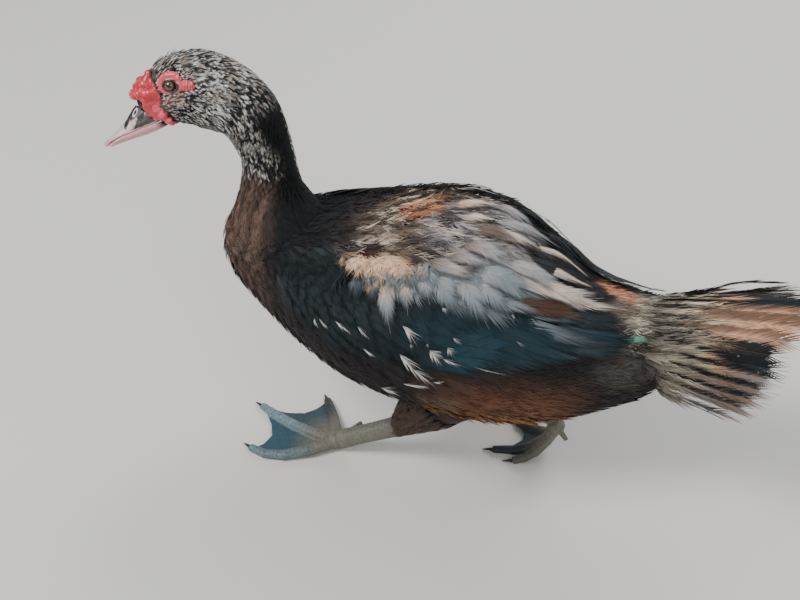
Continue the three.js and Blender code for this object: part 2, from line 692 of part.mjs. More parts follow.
// The folded wing's feathers, in tiers from the shoulder to the tip: where the roots stand along the body,
// the count, the angles of the first and last root, the angles of their tips, length and width
const WING_TIERS = [
  [-132, 3, 40, 56, 45, 61, 52, 36],
  [-104, 3, 36, 64, 39, 69, 62, 40],
  [-68, 4, 31, 76, 33, 79, 76, 38],
  [-28, 4, 28, 82, 27, 76, 84, 40],
  [16, 4, 25, 72, 23, 50, 92, 38],
  [66, 3, 26, 44, 25, 37, 100, 30],
];
const PRIMARIES = [
  // root x, root angle, tip angle, length, width
  [110, 30, 33, 72, 16],
  [106, 40, 42, 78, 16],
];
const FLIGHT_THICKNESS = 1.3;
const SHINGLE = 9; // degrees that a vane is turned, so that it lies clear of its neighbours
const TIP_LIFT = 1.8;
const WING_ROOT = 5; // how deep a wing feather is rooted
function wingFeathers(side) {
  const tiers = WING_TIERS.flatMap(([x, count, from, to, tipFrom, tipTo, length, width], tier) =>
    Array.from({ length: count }, (_, k) => {
      const share = (k + 0.5 * (tier % 2)) / (count - 0.5);
      const root = from + (to - from) * share + jitter();
      const tip = tipFrom + (tipTo - tipFrom) * share + jitter();
      return [x + 3 * jitter(), root, tip, length * (1 + 0.06 * jitter()), width];
    }),
  );
  return [...tiers, ...PRIMARIES].map(([x, root, tip, length, width]) => {
    const stations = VANE_SHARES.map(([t, share]) => {
      const lift = (WING_ROOT + TIP_LIFT) * Math.min(1, t * 1.6) - WING_ROOT;
      const { at, out } = onWing(x + length * t, root + (tip - root) * t, lift, side);
      return { at, out: tilted(out, -side * SHINGLE), share };
    });
    return vane(stations, width, FLIGHT_THICKNESS);
  });
}
for (const side of [1, -1]) {
  const made = join([wingCore(side), ...wingFeathers(side)]).subtract(torsoRoom);
  addNode(side > 0 ? "wing_left" : "wing_right", made, wingFeather);
}

// Tail: a vaulted fan that springs from round the rump. The rump's stations are x, height, half width, rise
// and depth
const RUMP_SIDES = 16;
const RUMP = [
  [186, 188, 44, 25, 24],
  [198, 186, 50, 28, 27],
  [212, 185, 50, 31, 25],
  [232, 187, 47, 31, 18],
  [252, 194, 36, 24, 9],
  [266, 200, 24, 14, 5],
];
const rumpStation = ([x, z, half, above, below]) => ({ centre: vec(x, 0, z), side: RIGHT, half, above, below });
const rump = solid(limb(RUMP.map(rumpStation), 1, 0, RUMP_SIDES));
// A place on the vault: t runs from the roots to the tips, angle from the top of the vault over the left side
const VAULT = { rootX: 196, rootHalf: 50, rootRise: 32, rootZ: 184, tipHalf: 90, tipRise: 40, tipZ: 197 };
const MIDDLE_TIP = 328;
const OUTER_TIP = 272;
const TAIL_SPAN = 130; // degrees from the top to the outermost feather's root
const FAN_OPENING = 0.86; // how much of a root's angle is left at its tip
function onVault(angle, t, lift) {
  const tipX = MIDDLE_TIP - (MIDDLE_TIP - OUTER_TIP) * (Math.abs(angle) / TAIL_SPAN) ** 1.6;
  const a = rad(angle * (1 + (FAN_OPENING - 1) * t));
  const mix = (root, tip) => root + (tip - root) * t;
  const half = mix(VAULT.rootHalf, VAULT.tipHalf);
  const rise = mix(VAULT.rootRise, VAULT.tipRise);
  const out = vec(0, -Math.sin(a), Math.cos(a));
  const at = vec(mix(VAULT.rootX, tipX), out.y * half, mix(VAULT.rootZ, VAULT.tipZ) + out.z * rise);
  return { at: at.addScaledVector(out, lift), out };
}
// The tail's feathers in tiers: count, degrees to each side, where the roots and tips lie along the vault,
// width, and the lift of roots and tips
const TAIL_TIERS = [
  { count: 18, span: TAIL_SPAN, from: -0.02, to: 1, width: 27, root: -5, tip: 0 },
  { count: 7, span: 96, from: -0.04, to: 0.5, width: 38, root: -2, tip: 4 },
  { count: 4, span: 50, from: -0.06, to: 0.3, width: 36, root: 0, tip: 7 },
];
const tailFeathers = TAIL_TIERS.flatMap(({ count, span, from, to, width, root, tip }) =>
  Array.from({ length: count }, (_, k) => {
    const across = (2 * k) / (count - 1) - 1;
    const reach = to * (1 + 0.03 * jitter());
    const stations = VANE_SHARES.map(([t, share]) => {
      const lift = root + (tip - root) * Math.min(1, 1.5 * t);
      const { at, out } = onVault(across * span, from + (reach - from) * t, lift);
      return { at, out: tilted(out, -Math.sign(across) * SHINGLE), share };
    });
    return vane(stations, width, FLIGHT_THICKNESS);
  }),
);
// One thin loose feather stands up from the far side
const LOOSE_FEATHER = [vec(206, 32, 198), vec(232, 31, 236), vec(248, 30, 252), vec(264, 29, 266)];
const LOOSE_SHARES = [0, 1, 0.7, 0];
const LOOSE_WIDTH = 4;
const LOOSE_THICKNESS = 1;
const looseOut = vec(0, -0.9, 0.4);
const looseStations = LOOSE_FEATHER.map((at, k) => ({ at, out: looseOut, share: LOOSE_SHARES[k] }));
const loose = vane(looseStations, LOOSE_WIDTH, LOOSE_THICKNESS);
const wingCores = wingCore(1).add(wingCore(-1));
addNode("tail", join([rump, ...tailFeathers, loose]).subtract(torsoRoom).subtract(wingCores), tailFeather);

// The origin is under the middle of the bird, at the floor
duck.updateMatrixWorld(true);
const whole = new THREE.Box3().setFromObject(duck, true);
const middle = whole.getCenter(vec(0, 0, 0));
duck.children.forEach((mesh) => mesh.position.set(-middle.x, -middle.y, -whole.min.z));

export default duck;
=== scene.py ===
import math

import bpy
import numpy as np
from mathutils import Matrix, Vector, noise


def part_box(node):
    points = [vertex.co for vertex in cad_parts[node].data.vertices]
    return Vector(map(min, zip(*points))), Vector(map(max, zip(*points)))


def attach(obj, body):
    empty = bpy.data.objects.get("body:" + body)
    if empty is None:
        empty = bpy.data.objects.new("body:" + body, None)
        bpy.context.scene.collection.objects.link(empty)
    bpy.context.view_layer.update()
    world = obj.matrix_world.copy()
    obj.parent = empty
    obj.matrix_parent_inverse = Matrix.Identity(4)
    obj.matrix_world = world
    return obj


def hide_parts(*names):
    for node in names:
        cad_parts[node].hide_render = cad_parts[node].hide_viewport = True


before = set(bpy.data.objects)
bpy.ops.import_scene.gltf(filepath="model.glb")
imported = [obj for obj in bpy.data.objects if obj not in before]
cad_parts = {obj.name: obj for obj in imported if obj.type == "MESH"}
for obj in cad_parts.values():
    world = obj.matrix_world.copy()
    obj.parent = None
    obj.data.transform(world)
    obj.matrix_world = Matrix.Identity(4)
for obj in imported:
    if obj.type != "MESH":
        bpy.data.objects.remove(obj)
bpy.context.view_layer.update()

# Skin: the bird's own hide over flesh and bone, one closed surface from the skull to the rump and the knees.
# It lies inside the feathers by their depth and shows only in the gaps between them, in their colours
# darkened as painted shade.
MM = 0.001
EYE_OFFSET = 16.5  # from the head's mid plane to an eye's centre
HEAD_PLACE = np.array([-251.4, -26.0, 367.0])
HEAD_TURN = 27  # degrees towards the bird's left
HEAD_DIP = 20  # degrees that the bill points down
HEAD_ROLL = 29  # degrees that the left side is turned up
head_axes = np.array(
    Matrix.Rotation(math.radians(HEAD_TURN), 3, "Z")
    @ Matrix.Rotation(math.radians(-HEAD_DIP), 3, "Y")
    @ Matrix.Rotation(math.radians(-HEAD_ROLL), 3, "X")
)


def in_head(forward, left, up):
    """A place in the head's own frame, as a point of the bird in mm."""
    own = np.stack(np.broadcast_arrays(-np.asarray(forward, float), -np.asarray(left, float), up), -1)
    return HEAD_PLACE + own @ head_axes.T


def head_place(points):
    """Points of the bird as forward, left and up in the head's own frame."""
    own = (np.asarray(points) - HEAD_PLACE) @ head_axes
    return own * (-1, -1, 1)


low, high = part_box("eye_left")
# Where the bird's own zero lies in the frame
ORIGIN = np.array((low + high) / 2) - in_head(0, EYE_OFFSET, 0) * MM

# The body without its wings: x, half width, top, bottom, and the height of the widest point
TORSO = [
    (-226, 0, 207, 207, 207),
    (-219, 22, 226, 186, 205),
    (-202, 42, 233, 163, 200),
    (-167, 60, 234, 137, 189),
    (-124, 78, 237, 112, 178),
    (-73, 96, 249, 93, 172),
    (-13, 103, 265, 83, 170),
    (42, 97, 261, 78, 166),
    (86, 81, 236, 79, 159),
    (125, 64, 212, 89, 155),
    (161, 53, 209, 109, 160),
    (190, 44, 209, 132, 170),
    (206, 26, 199, 156, 176),
    (212, 0, 180, 180, 180),
]
# The same body with a folded wing on each side
WINGED = [
    (-190, 51, 234, 155, 197),
    (-172, 62, 236, 138, 191),
    (-145, 79, 238, 120, 184),
    (-110, 97, 244, 105, 177),
    (-60, 110, 257, 89, 172),
    (-13, 115, 269, 83, 170),
    (42, 108, 266, 78, 166),
    (86, 92, 241, 79, 160),
    (125, 73, 218, 89, 157),
    (161, 61, 214, 109, 163),
    (190, 53, 214, 132, 172),
    (222, 55, 214, 150, 180),
]
# A folded wing: x and the angles of its upper and lower edge, from the top of the back over the side
WING = [
    (-146, 38, 48),
    (-138, 30, 60),
    (-120, 25, 70),
    (-80, 22, 80),
    (-30, 19, 89),
    (10, 15, 88),
    (50, 13, 80),
    (86, 13, 60),
    (120, 17, 50),
    (153, 25, 45),
    (184, 34, 44),
]
BODY_ROUNDNESS = 2.2  # exponent of the cross sections, where 2 is an ellipse
LIMB_ROUNDNESS = 2.1
# Skull: forward, up, half width, depth below and rise above the centre
SKULL = [
    (34, -11, 5, 5, 5),
    (30, -9, 10, 11, 13),
    (22, -8, 14, 20, 22),
    (10, -8, 18.5, 25, 29),
    (-5, -8, 21.5, 29, 33),
    (-22, -12, 24, 33, 34),
    (-40, -24, 25.5, 33, 31),
    (-54, -45, 25.5, 29, 27),
]
# Neck: x, y, z, half width, depth in front, depth behind, and how far it is still twisted with the head
NECK = [
    (-178, -4, 312, 24.5, 24.5, 24.5, 0.35),
    (-175, -1, 288, 24, 24.5, 24.5, 0.15),
    (-174, 0, 262, 27, 30, 28, 0),
    (-171, 0, 236, 37, 43, 38, 0),
    (-164, 0, 208, 46, 56, 48, 0),
    (-152, 0, 185, 48, 58, 50, 0),
]
# Rump: x, height, half width, rise and depth
RUMP = [
    (186, 188, 44, 25, 24),
    (198, 186, 50, 28, 27),
    (212, 185, 50, 31, 25),
    (232, 187, 47, 31, 18),
    (252, 194, 36, 24, 9),
    (266, 200, 24, 14, 5),
]
# Legs: the foot joint, the hock and two places up the thigh, with the thigh's half widths and half depths
LEGS = {
    "left": {"heel": (-97, -53, 9), "hock": (-28, -46, 47), "thigh": [(-10, -44, 73), (20, -44, 104)]},
    "right": {"heel": (109, 6, 44), "hock": (74, 44, 82), "thigh": [(58, 47, 96), (34, 46, 116)]},
}
THIGH = [(11, 11), (22, 25), (28, 34)]
KNEE_START = 0.08  # where the feathers begin below the hock, as a share of the shank
RIGHT = np.array([0.0, 1.0, 0.0])


def unit(v):
    """Vectors of the same directions, all 1 long."""
    return v / np.maximum(np.linalg.norm(v, axis=-1, keepdims=True), 1e-9)


def power(value, exponent):
    """A sine or cosine bent to a rounded square's outline, or left as a circle's where the exponent is 2."""
    return np.sign(value) * np.abs(value) ** (2 / exponent)


def smooth(low, high, value):
    """0 below low, 1 above high, and a smooth step between."""
    t = np.clip((value - low) / (high - low), 0, 1)
    return t * t * (3 - 2 * t)


def mix(first, second, share):
    """The first colour, point or number taken towards the second by a share from 0 to 1."""
    return first + (second - first) * share


def spline(rows, u):
    """Catmull-Rom values of a table's columns at places counted in rows."""
    rows = np.asarray(rows, float)
    i = np.clip(np.floor(u).astype(int), 0, len(rows) - 2)
    t = (u - i)[..., None]
    a, b, d, e = (rows[np.clip(i + k, 0, len(rows) - 1)] for k in (-1, 0, 1, 2))
    return b + 0.5 * t * (d - a + t * (2 * a - 5 * b + 4 * d - e + t * (3 * (b - d) + e - a)))


def by_x(rows, x):
    """A table's columns where its first column has the values x."""
    fine = spline(rows, np.linspace(0, len(rows) - 1, 40 * len(rows)))
    return np.stack([np.interp(x, fine[:, 0], fine[:, c]) for c in range(fine.shape[1])], -1)


def body_section(rows, x, angle):
    """Points of a body table at x and at an angle in radians from the top over the left side."""
    _, half, top, bottom, mid = np.moveaxis(by_x(rows, x), -1, 0)
    rise = power(np.cos(angle), BODY_ROUNDNESS) * np.where(np.cos(angle) > 0, top - mid, mid - bottom)
    return np.stack([x + 0 * angle, -power(np.sin(angle), BODY_ROUNDNESS) * half, mid + rise], -1)


class Surface:
    """A form as a grid of points in mm. Rows run to the tail, columns round from the top over the left."""

    def __init__(self, points):
        """Keeps each point with its outward direction and its two tangents."""
        self.points = points
        rows, columns = points.shape[:2]
        self.size = np.array([rows - 1, columns])
        along = np.gradient(points, axis=0) * self.size[0]
        across = (np.roll(points, -1, 1) - np.roll(points, 1, 1)) / 2 * self.size[1]
        out = unit(np.cross(across, along))
        middle = points.mean(1, keepdims=True)
        turned = -1 if ((points - middle) * out).sum() < 0 else 1
        self.grid = np.concatenate([points, out * turned, along, across], -1)

    def at(self, u, v):
        """Point, outward direction and the two tangents at shares u along and v across, past the ends too."""
        inside = np.clip(u, 0, 1)
        i = np.clip((inside * self.size[0]).astype(int), 0, self.size[0] - 1)
        down = (inside * self.size[0] - i)[..., None]
        place = (v % 1) * self.size[1]
        j = place.astype(int) % self.size[1]
        after = (j + 1) % self.size[1]
        round_it = (place - np.floor(place))[..., None]
        upper = mix(self.grid[i, j], self.grid[i, after], round_it)
        lower = mix(self.grid[i + 1, j], self.grid[i + 1, after], round_it)
        point, out, along, across = np.split(mix(upper, lower, down), 4, -1)
        return point + (u - inside)[..., None] * along, unit(out), along, across


def tube(stations, rows, columns):
    """A surface round a limb. A station is its centre, side, half width, rise and depth."""
    flat = np.array([np.concatenate([np.ravel(part) for part in station]) for station in stations], float)
    u = np.linspace(0, len(flat) - 1, rows)
    row = spline(flat, u)
    before = spline(flat, np.clip(u - 0.25, 0, len(flat) - 1))[:, :3]
    after = spline(flat, np.clip(u + 0.25, 0, len(flat) - 1))[:, :3]
    ahead = unit(after - before)
    side = unit(row[:, 3:6] - (row[:, 3:6] * ahead).sum(1, keepdims=True) * ahead)
    up = np.cross(ahead, side)
    angle = -2 * np.pi * np.arange(columns) / columns
    out = power(np.sin(angle), LIMB_ROUNDNESS)[None, :, None] * (side * row[:, 6:7])[:, None]
    depth = np.where(np.cos(angle)[None] > 0, row[:, 7:8], row[:, 8:9])
    rise = (power(np.cos(angle), LIMB_ROUNDNESS)[None] * depth)[..., None] * up[:, None]
    return Surface(row[:, None, :3] + out + rise)


body_x = spline(TORSO, np.linspace(0, len(TORSO) - 1, 220))[:, 0]
body_angles = 2 * np.pi * np.arange(180) / 180
WING_MERGE = 14  # degrees over which the wing's lower edge merges with the flank
grid_x, grid_angle = np.meshgrid(body_x, body_angles, indexing="ij")
bare_body = body_section(TORSO, grid_x, grid_angle)
winged_body = body_section(WINGED, grid_x, grid_angle)
wing_low = by_x(WING, grid_x)[..., 2]
off_top = np.degrees(np.minimum(grid_angle, 2 * np.pi - grid_angle))
wing_share = smooth(-WING_MERGE, 0, wing_low - off_top) * smooth(-190, -140, grid_x)
wing_share = wing_share * smooth(212, 190, grid_x)
body = Surface(mix(bare_body, winged_body, wing_share[..., None]))

head_side = RIGHT @ head_axes.T
skull_stations = [(in_head(f, 0, up), head_side, half, above, below) for f, up, half, below, above in SKULL]
neck_stations = [
    ((x, y, z), unit(mix(RIGHT, head_side, twist)), half, above, below)
    for x, y, z, half, below, above, twist in NECK
]
stations = skull_stations + neck_stations
head_neck = tube(stations, rows=14 * (len(stations) - 1) + 1, columns=120)
stations = [((x, 0, z), RIGHT, half, above, below) for x, z, half, above, below in RUMP]
rump = tube(stations, rows=40, columns=80)
thighs = {}
for name, leg in LEGS.items():
    heel, hock = (np.array(leg[joint], float) for joint in ("heel", "hock"))
    centres = [mix(hock, heel, KNEE_START), *leg["thigh"]]
    stations = [(centre, RIGHT, half, depth, depth) for centre, (half, depth) in zip(centres, THIGH)]
    thighs[name] = tube(stations, rows=40, columns=60)


def linear(hex_colour):
    """An sRGB hex colour as linear light, which shaders work in."""
    value = np.array([int(hex_colour[k:k + 2], 16) for k in (1, 3, 5)]) / 255
    return np.where(value <= 0.04045, value / 12.92, ((value + 0.055) / 1.055) ** 2.4)


def build(name, points, faces, tint, material, replaces=(), uv=None):
    """A piece from points in mm, triangles, a colour for each point and a bake place for each point."""
    mesh = bpy.data.meshes.new(name)
    faces = np.asarray(faces, np.int32)
    mesh.vertices.add(len(points))
    mesh.vertices.foreach_set("co", (points * MM + ORIGIN).astype(np.float32).ravel())
    mesh.loops.add(faces.size)
    mesh.loops.foreach_set("vertex_index", faces.ravel())
    mesh.polygons.add(len(faces))
    mesh.polygons.foreach_set("loop_start", np.arange(0, faces.size, 3, dtype=np.int32))
    mesh.polygons.foreach_set("use_smooth", np.ones(len(faces), bool))
    rgba = np.ones((len(points), 4), np.float32)
    rgba[:, :3] = tint
    mesh.color_attributes.new("tint", "FLOAT_COLOR", "POINT").data.foreach_set("color", rgba.ravel())
    if uv is not None:
        mesh.uv_layers.new(name="OFBake").data.foreach_set("uv", uv[faces.ravel()].astype(np.float32).ravel())
    mesh.update(calc_edges=True)
    mesh.validate()
    piece = bpy.data.objects.new(name, mesh)
    bpy.context.scene.collection.objects.link(piece)
    mesh.materials.append(material)
    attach(piece, "root")
    if replaces:
        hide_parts(*replaces)
    return piece


def capped(rows, columns):
    """Triangles of a grid whose columns join into rings, and of a cap round one more point at each end."""
    ring = np.arange(columns)
    after = (ring + 1) % columns
    start = np.arange(rows - 1)[:, None] * columns
    a, b = (start + ring).ravel(), (start + after).ravel()
    last = (rows - 1) * columns
    return np.concatenate([
        np.stack([a, b, a + columns], 1),
        np.stack([b, b + columns, a + columns], 1),
        np.stack([after, ring, np.full(columns, rows * columns)], 1),
        np.stack([last + ring, last + after, np.full(columns, rows * columns + 1)], 1),
    ])


def closed_form(surface, inset):
    """A surface lowered by inset as a closed mesh, with a cap at each end."""
    points = surface.grid[..., :3] - surface.grid[..., 3:6] * inset
    flat = np.concatenate([points.reshape(-1, 3), points[:1].mean(1), points[-1:].mean(1)])
    return flat, capped(*points.shape[:2])


def fused(forms, voxel, rounds):
    """Closed meshes fused into one skin: its points in mm, its faces and its outward directions.

    voxel is the mesh's width in mm, and rounds how often the skin is smoothed."""
    firsts = np.cumsum([0] + [len(points) for points, _ in forms])
    points = np.concatenate([points for points, _ in forms])
    faces = np.concatenate([faces + first for (_, faces), first in zip(forms, firsts)])
    mesh = bpy.data.meshes.new("fused")
    mesh.from_pydata(points.tolist(), [], faces.tolist())
    carrier = bpy.data.objects.new("fused", mesh)
    bpy.context.scene.collection.objects.link(carrier)
    remesh = carrier.modifiers.new("remesh", "REMESH")
    remesh.mode = "VOXEL"
    remesh.voxel_size = voxel
    relax = carrier.modifiers.new("relax", "SMOOTH")
    relax.iterations = rounds
    relax.factor = 0.6
    triangles = carrier.modifiers.new("triangles", "TRIANGULATE")
    triangles.quad_method = "SHORTEST_DIAGONAL"
    made = bpy.data.meshes.new_from_object(carrier.evaluated_get(bpy.context.evaluated_depsgraph_get()))
    bpy.data.objects.remove(carrier)
    co, normal = (np.zeros(len(made.vertices) * 3, np.float32) for _ in range(2))
    made.vertices.foreach_get("co", co)
    made.vertices.foreach_get("normal", normal)
    corners = np.zeros(len(made.loops), np.int32)
    made.loops.foreach_get("vertex_index", corners)
    return co.reshape(-1, 3).astype(float), corners.reshape(-1, 3), normal.reshape(-1, 3).astype(float)


def cad_form(*nodes):
    """CAD nodes as closed meshes in mm in the bird's own frame."""
    forms = []
    for node in nodes:
        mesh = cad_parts[node].data
        mesh.calc_loop_triangles()
        co = np.array([v.co for v in mesh.vertices], float)
        faces = np.array([t.vertices for t in mesh.loop_triangles])
        forms.append(((co - ORIGIN) / MM, faces))
    return forms


def body_angle(points):
    """Degrees from the top of the body over the left side, from 0 to 360."""
    x = np.clip(points[..., 0], TORSO[0][0] + 2, TORSO[-1][0] - 2)
    _, half, top, bottom, mid = np.moveaxis(by_x(WINGED, x), -1, 0)
    side = -points[..., 1] / half
    rise = (points[..., 2] - mid) / np.where(points[..., 2] > mid, top - mid, mid - bottom)
    return np.degrees(np.arctan2(power(side, 4 / BODY_ROUNDNESS), power(rise, 4 / BODY_ROUNDNESS))) % 360


# The plumage is worn and half moulted: a black bird with patches that the sun has bleached brown and cream
INK = linear("#0e1013")
BROWN_BLACK = linear("#1e191a")
BREAST_TAN = linear("#675242")
BREAST_BROWN = linear("#5c483d")
BELLY_RUST = linear("#6a4431")
FRINGE_TAN = linear("#96703f")
BACK_BROWN = linear("#6b5a4b")
CREAM = linear("#c5b4a2")
PEACH = linear("#d6b395")
ORANGE_TAN = linear("#bd8362")
RAW_BROWN = linear("#33190f")
RUMP_OLIVE = linear("#8c8573")
RUMP_GREY = linear("#3f3a36")
LILAC = linear("#948e8d")
SILVER = linear("#777f82")
SLATE = linear("#323b41")
TEAL_BLACK = linear("#131e21")
TEAL = linear("#112930")
TEAL_BRIGHT = linear("#17323b")
HEAD_WHITE = linear("#c6c3be")
HEAD_GREY = linear("#6b6965")
HEAD_TAN = linear("#a3968a")
LID_PINK = linear("#b08478")
HEAD_BLACK = linear("#121419")
# Patches on back and wing: x and angle of the middle, reach along and round, degrees of slant for each
# millimetre along, colour and strength. Angles are degrees from the top of the back over the left side.
MARKS = [
    (-40, 62, 120, 24, 0.0, TEAL_BLACK, 1.0),
    (-110, 40, 50, 24, 0.0, TEAL_BLACK, 0.9),
    (30, 60, 80, 20, -0.1, TEAL_BLACK, 1.0),
    (40, 58, 60, 14, -0.1, TEAL, 0.8),
    (66, 60, 40, 12, -0.1, TEAL_BRIGHT, 1.0),
    (110, 40, 80, 12, 0.0, TEAL, 0.9),
    (-26, 4, 66, 30, 0.0, BACK_BROWN, 1.0),
    (-56, 18, 26, 9, 0.0, CREAM, 0.35),
    (34, 8, 66, 20, 0.0, LILAC, 0.9),
    (-20, 41, 44, 7, 0.02, SILVER, 0.8),
    (28, 36, 50, 12, 0.08, SILVER, 1.0),
    (72, 24, 40, 10, -0.1, SILVER, 1.0),
    (-46, 32, 42, 7, 0.02, PEACH, 1.0),
    (-30, -4, 26, 10, -0.1, ORANGE_TAN, 1.0),
    (36, -8, 50, 13, 0.0, LILAC, 0.9),
    (-59, 24, 13, 5, 0.0, RAW_BROWN, 1.0),
    (-16, 29, 8, 4, 0.0, RAW_BROWN, 0.9),
    (-4, 24, 18, 2.6, 0.0, INK, 0.9),
    (95, 0, 40, 5, 0.0, INK, 0.9),
    (50, -26, 110, 12, 0.12, INK, 1.0),
    (-158, 0, 64, 60, 0.0, INK, 0.9),
    (22, 110, 26, 12, 0.0, BREAST_TAN, 0.9),
    (200, 70, 60, 40, 0.0, RUMP_GREY, 0.9),
    (192, 0, 46, 32, 0.0, RUMP_OLIVE, 0.95),
    (150, -16, 24, 10, 0.3, ORANGE_TAN, 0.8),
    (164, 4, 16, 12, 0.0, BREAST_BROWN, 0.8),
    (232, 4, 16, 12, 0.0, CREAM, 0.6),
]
MARK_FRAYING = 0.3  # how far a mark's edge wanders from feather to feather, as a share of its reach
MIRRORED_PAST = -42  # the right side repeats the left one's marks from this angle down
STREAK_TONES = 0.75  # how strongly the back's feathers differ from one another
HEAD_WHITES, HEAD_GREYS = 0.58, 0.39  # draws above which a head feather is pale, and is grey


def coat_colour(points, draw):
    """The plumage's colour at points of the bird. draw holds one random number from 0 to 1 for each."""
    x, y, z = (points[..., k:k + 1] for k in range(3))
    pick = draw[..., None]
    angle = body_angle(points)[..., None]
    signed = np.where(angle > 180, angle - 360, angle)
    off = np.abs(signed)
    signed = np.where(signed < MIRRORED_PAST, off, signed)
    colour = BROWN_BLACK * (0.75 + 0.5 * pick)

    # Breast and neck are worn in wavy bands down the front, belly and hem behind the thighs are rust and tan
    worn_down = 0.5 + 0.5 * np.sin(0.35 * (x - y) + 1.5 * np.sin(0.08 * z))
    breast = smooth(-140, -180, x) * smooth(34, 60, off)
    colour = mix(colour, BREAST_BROWN * (0.3 + 0.5 * worn_down), breast)
    colour = mix(colour, BREAST_TAN * (0.2 + 0.7 * pick + 0.6 * worn_down), smooth(-190, -222, x))
    rust = smooth(-5, 45, x) * smooth(165, 110, x) * smooth(74, 110, off)
    colour = mix(colour, BELLY_RUST * (0.5 + 0.7 * pick), rust)
    hem = smooth(-15, 15, x) * smooth(125, 85, x) * smooth(116, 134, off)
    colour = mix(colour, FRINGE_TAN * (0.5 + 0.7 * pick), hem * (pick > 0.3))

    for middle, around, along, across, slant, paint, strength in MARKS:
        reach = np.hypot((x - middle) / along, (signed - around - slant * (x - middle)) / across)
        mark = smooth(1.05, 0.6, reach + MARK_FRAYING * (pick - 0.5))
        colour = mix(colour, paint * (0.72 + 0.5 * pick), mark * strength)

    # Back and base of the tail: single feathers are bleached to cream or still dark
    back = smooth(-86, -70, x - 0.5 * (10 - signed)) * smooth(60, 10, x) * smooth(30, 22, off)
    tone = np.where(pick > 0.76, CREAM, np.where(pick < 0.36, BROWN_BLACK * 1.2, colour))
    colour = mix(colour, tone, back * STREAK_TONES)
    olive = smooth(162, 182, x) * smooth(52, 34, off)
    tone = np.where(pick > 0.74, CREAM * 0.9, np.where(pick < 0.3, RUMP_GREY * 0.6, colour))
    colour = mix(colour, tone, olive * STREAK_TONES)

    neck = smooth(200, 222, z) * smooth(-128, -150, x)
    front = smooth(-154, -172, x + 8 * (pick - 0.5))
    brown = BREAST_BROWN * (0.15 + 0.7 * pick + 0.6 * worn_down)
    colour = mix(colour, mix(INK, brown, front), neck)

    # Head: white, grey and black feathers in loose patches, nearly bare below the eye and black at the nape
    patch = np.sin(0.2 * x + 2 * np.sin(0.13 * z)) * np.sin(0.19 * y - 0.23 * z)
    pale = pick + 0.1 * patch + 0.12 * smooth(368, 382, z) - 0.07 * smooth(308, 285, z)
    light_one = mix(HEAD_WHITE, HEAD_TAN, smooth(0.2, 0.7, np.abs(patch)))
    forward, _, up = (head_place(points)[..., k:k + 1] for k in range(3))
    bare = smooth(-16, -8, forward) * smooth(-24, -18, up) * smooth(-5, -9, up)
    pale = pale + 0.22 * bare
    light_one = mix(light_one, LID_PINK, 0.6 * bare)
    mottle = np.where(pale > HEAD_WHITES, light_one, np.where(pale > HEAD_GREYS, HEAD_GREY, HEAD_BLACK))
    nape_edge = x + 0.25 * np.maximum(z - 300, 0) + 0.8 * np.maximum(y, 0)
    mottle = mix(mottle, INK, smooth(-162, -152, nape_edge) * smooth(372, 350, z))
    head = smooth(268, 278, z + 0.5 * np.minimum(y, 0) + 10 * (pick - 0.5))
    return mix(colour, mottle, head)


def add(tree, kind, links=(), **settings):
    """Adds a node. Settings are its properties or the values of its sockets, links are socket and source."""
    node = tree.nodes.new(kind)
    for key, value in settings.items():
        if hasattr(node, key):
            setattr(node, key, value)
        else:
            node.inputs[key.replace("_", " ")].default_value = value
    for socket, source in links:
        tree.links.new(source, node.inputs[socket])
    return node


def new_material(name):
    """A node material without its shader, its tree, and the link that lays a pattern on the surface."""
    material = bpy.data.materials.new(name)
    material.use_nodes = True
    tree = material.node_tree
    tree.nodes.clear()
    return material, tree, [("Vector", add(tree, "ShaderNodeNewGeometry").outputs["Position"])]


def finish(tree, shades, rough=None, relief=None, **settings):
    """Ends a material in the mesh's own tint.

    shades are patterns with the light they leave at their low and high end, rough is a pattern with its two
    roughnesses, and relief a pattern with its strength and depth in mm, below zero where it is sunk in."""
    colour = add(tree, "ShaderNodeAttribute", attribute_name="tint").outputs["Color"]
    for pattern, dark, light in shades:
        tone = add(tree, "ShaderNodeMapRange", [("Value", pattern)], To_Min=dark, To_Max=light)
        links = [("Vector", colour), ("Scale", tone.outputs["Result"])]
        colour = add(tree, "ShaderNodeVectorMath", links, operation="SCALE").outputs["Vector"]
    links = [("Base Color", colour)]
    if rough:
        gloss = add(tree, "ShaderNodeMapRange", [("Value", rough[0])], To_Min=rough[1], To_Max=rough[2])
        links.append(("Roughness", gloss.outputs["Result"]))
    if relief:
        pattern, strength, depth = relief
        bump = add(
            tree, "ShaderNodeBump", [("Height", pattern)],
            Strength=strength, Distance=abs(depth) * MM, invert=depth < 0,
        )
        links.append(("Normal", bump.outputs["Normal"]))
    shader = add(tree, "ShaderNodeBsdfPrincipled", links, **settings)
    add(tree, "ShaderNodeOutputMaterial", [("Surface", shader.outputs["BSDF"])])


# Leathery hide with pits where quills are rooted: dull, dark and only seen between feathers
PIT_MM = 4
hide_material, tree, on_surface = new_material("bird_hide")
pits = add(tree, "ShaderNodeTexVoronoi", on_surface, Scale=1 / (PIT_MM * MM)).outputs["Distance"]
finish(tree, shades=[(pits, 0.6, 1.2)], relief=(pits, 0.5, 0.5), Roughness=0.85)

SKIN_DRAW = 0.3  # the hide takes the colour of feathers of this draw
SKIN_SHADE = 0.4
# From the hide to the outline of the feathers
COAT_DEPTHS = ((body, 3.2), (head_neck, 1.4), (rump, 3.5), (thighs["left"], 3.0), (thighs["right"], 3.0))
forms = [closed_form(surface, depth) for surface, depth in COAT_DEPTHS]
points, faces, _ = fused(forms, voxel=3.0, rounds=6)
# The feathers' colours darkened by SKIN_SHADE: painted shade in the gaps between the feathers
tint = SKIN_SHADE * coat_colour(points, np.full(len(points), SKIN_DRAW))
build(
    "skin", points, faces, tint, hide_material,
    ("torso", "neck", "head", "thigh_left", "thigh_right"),
)

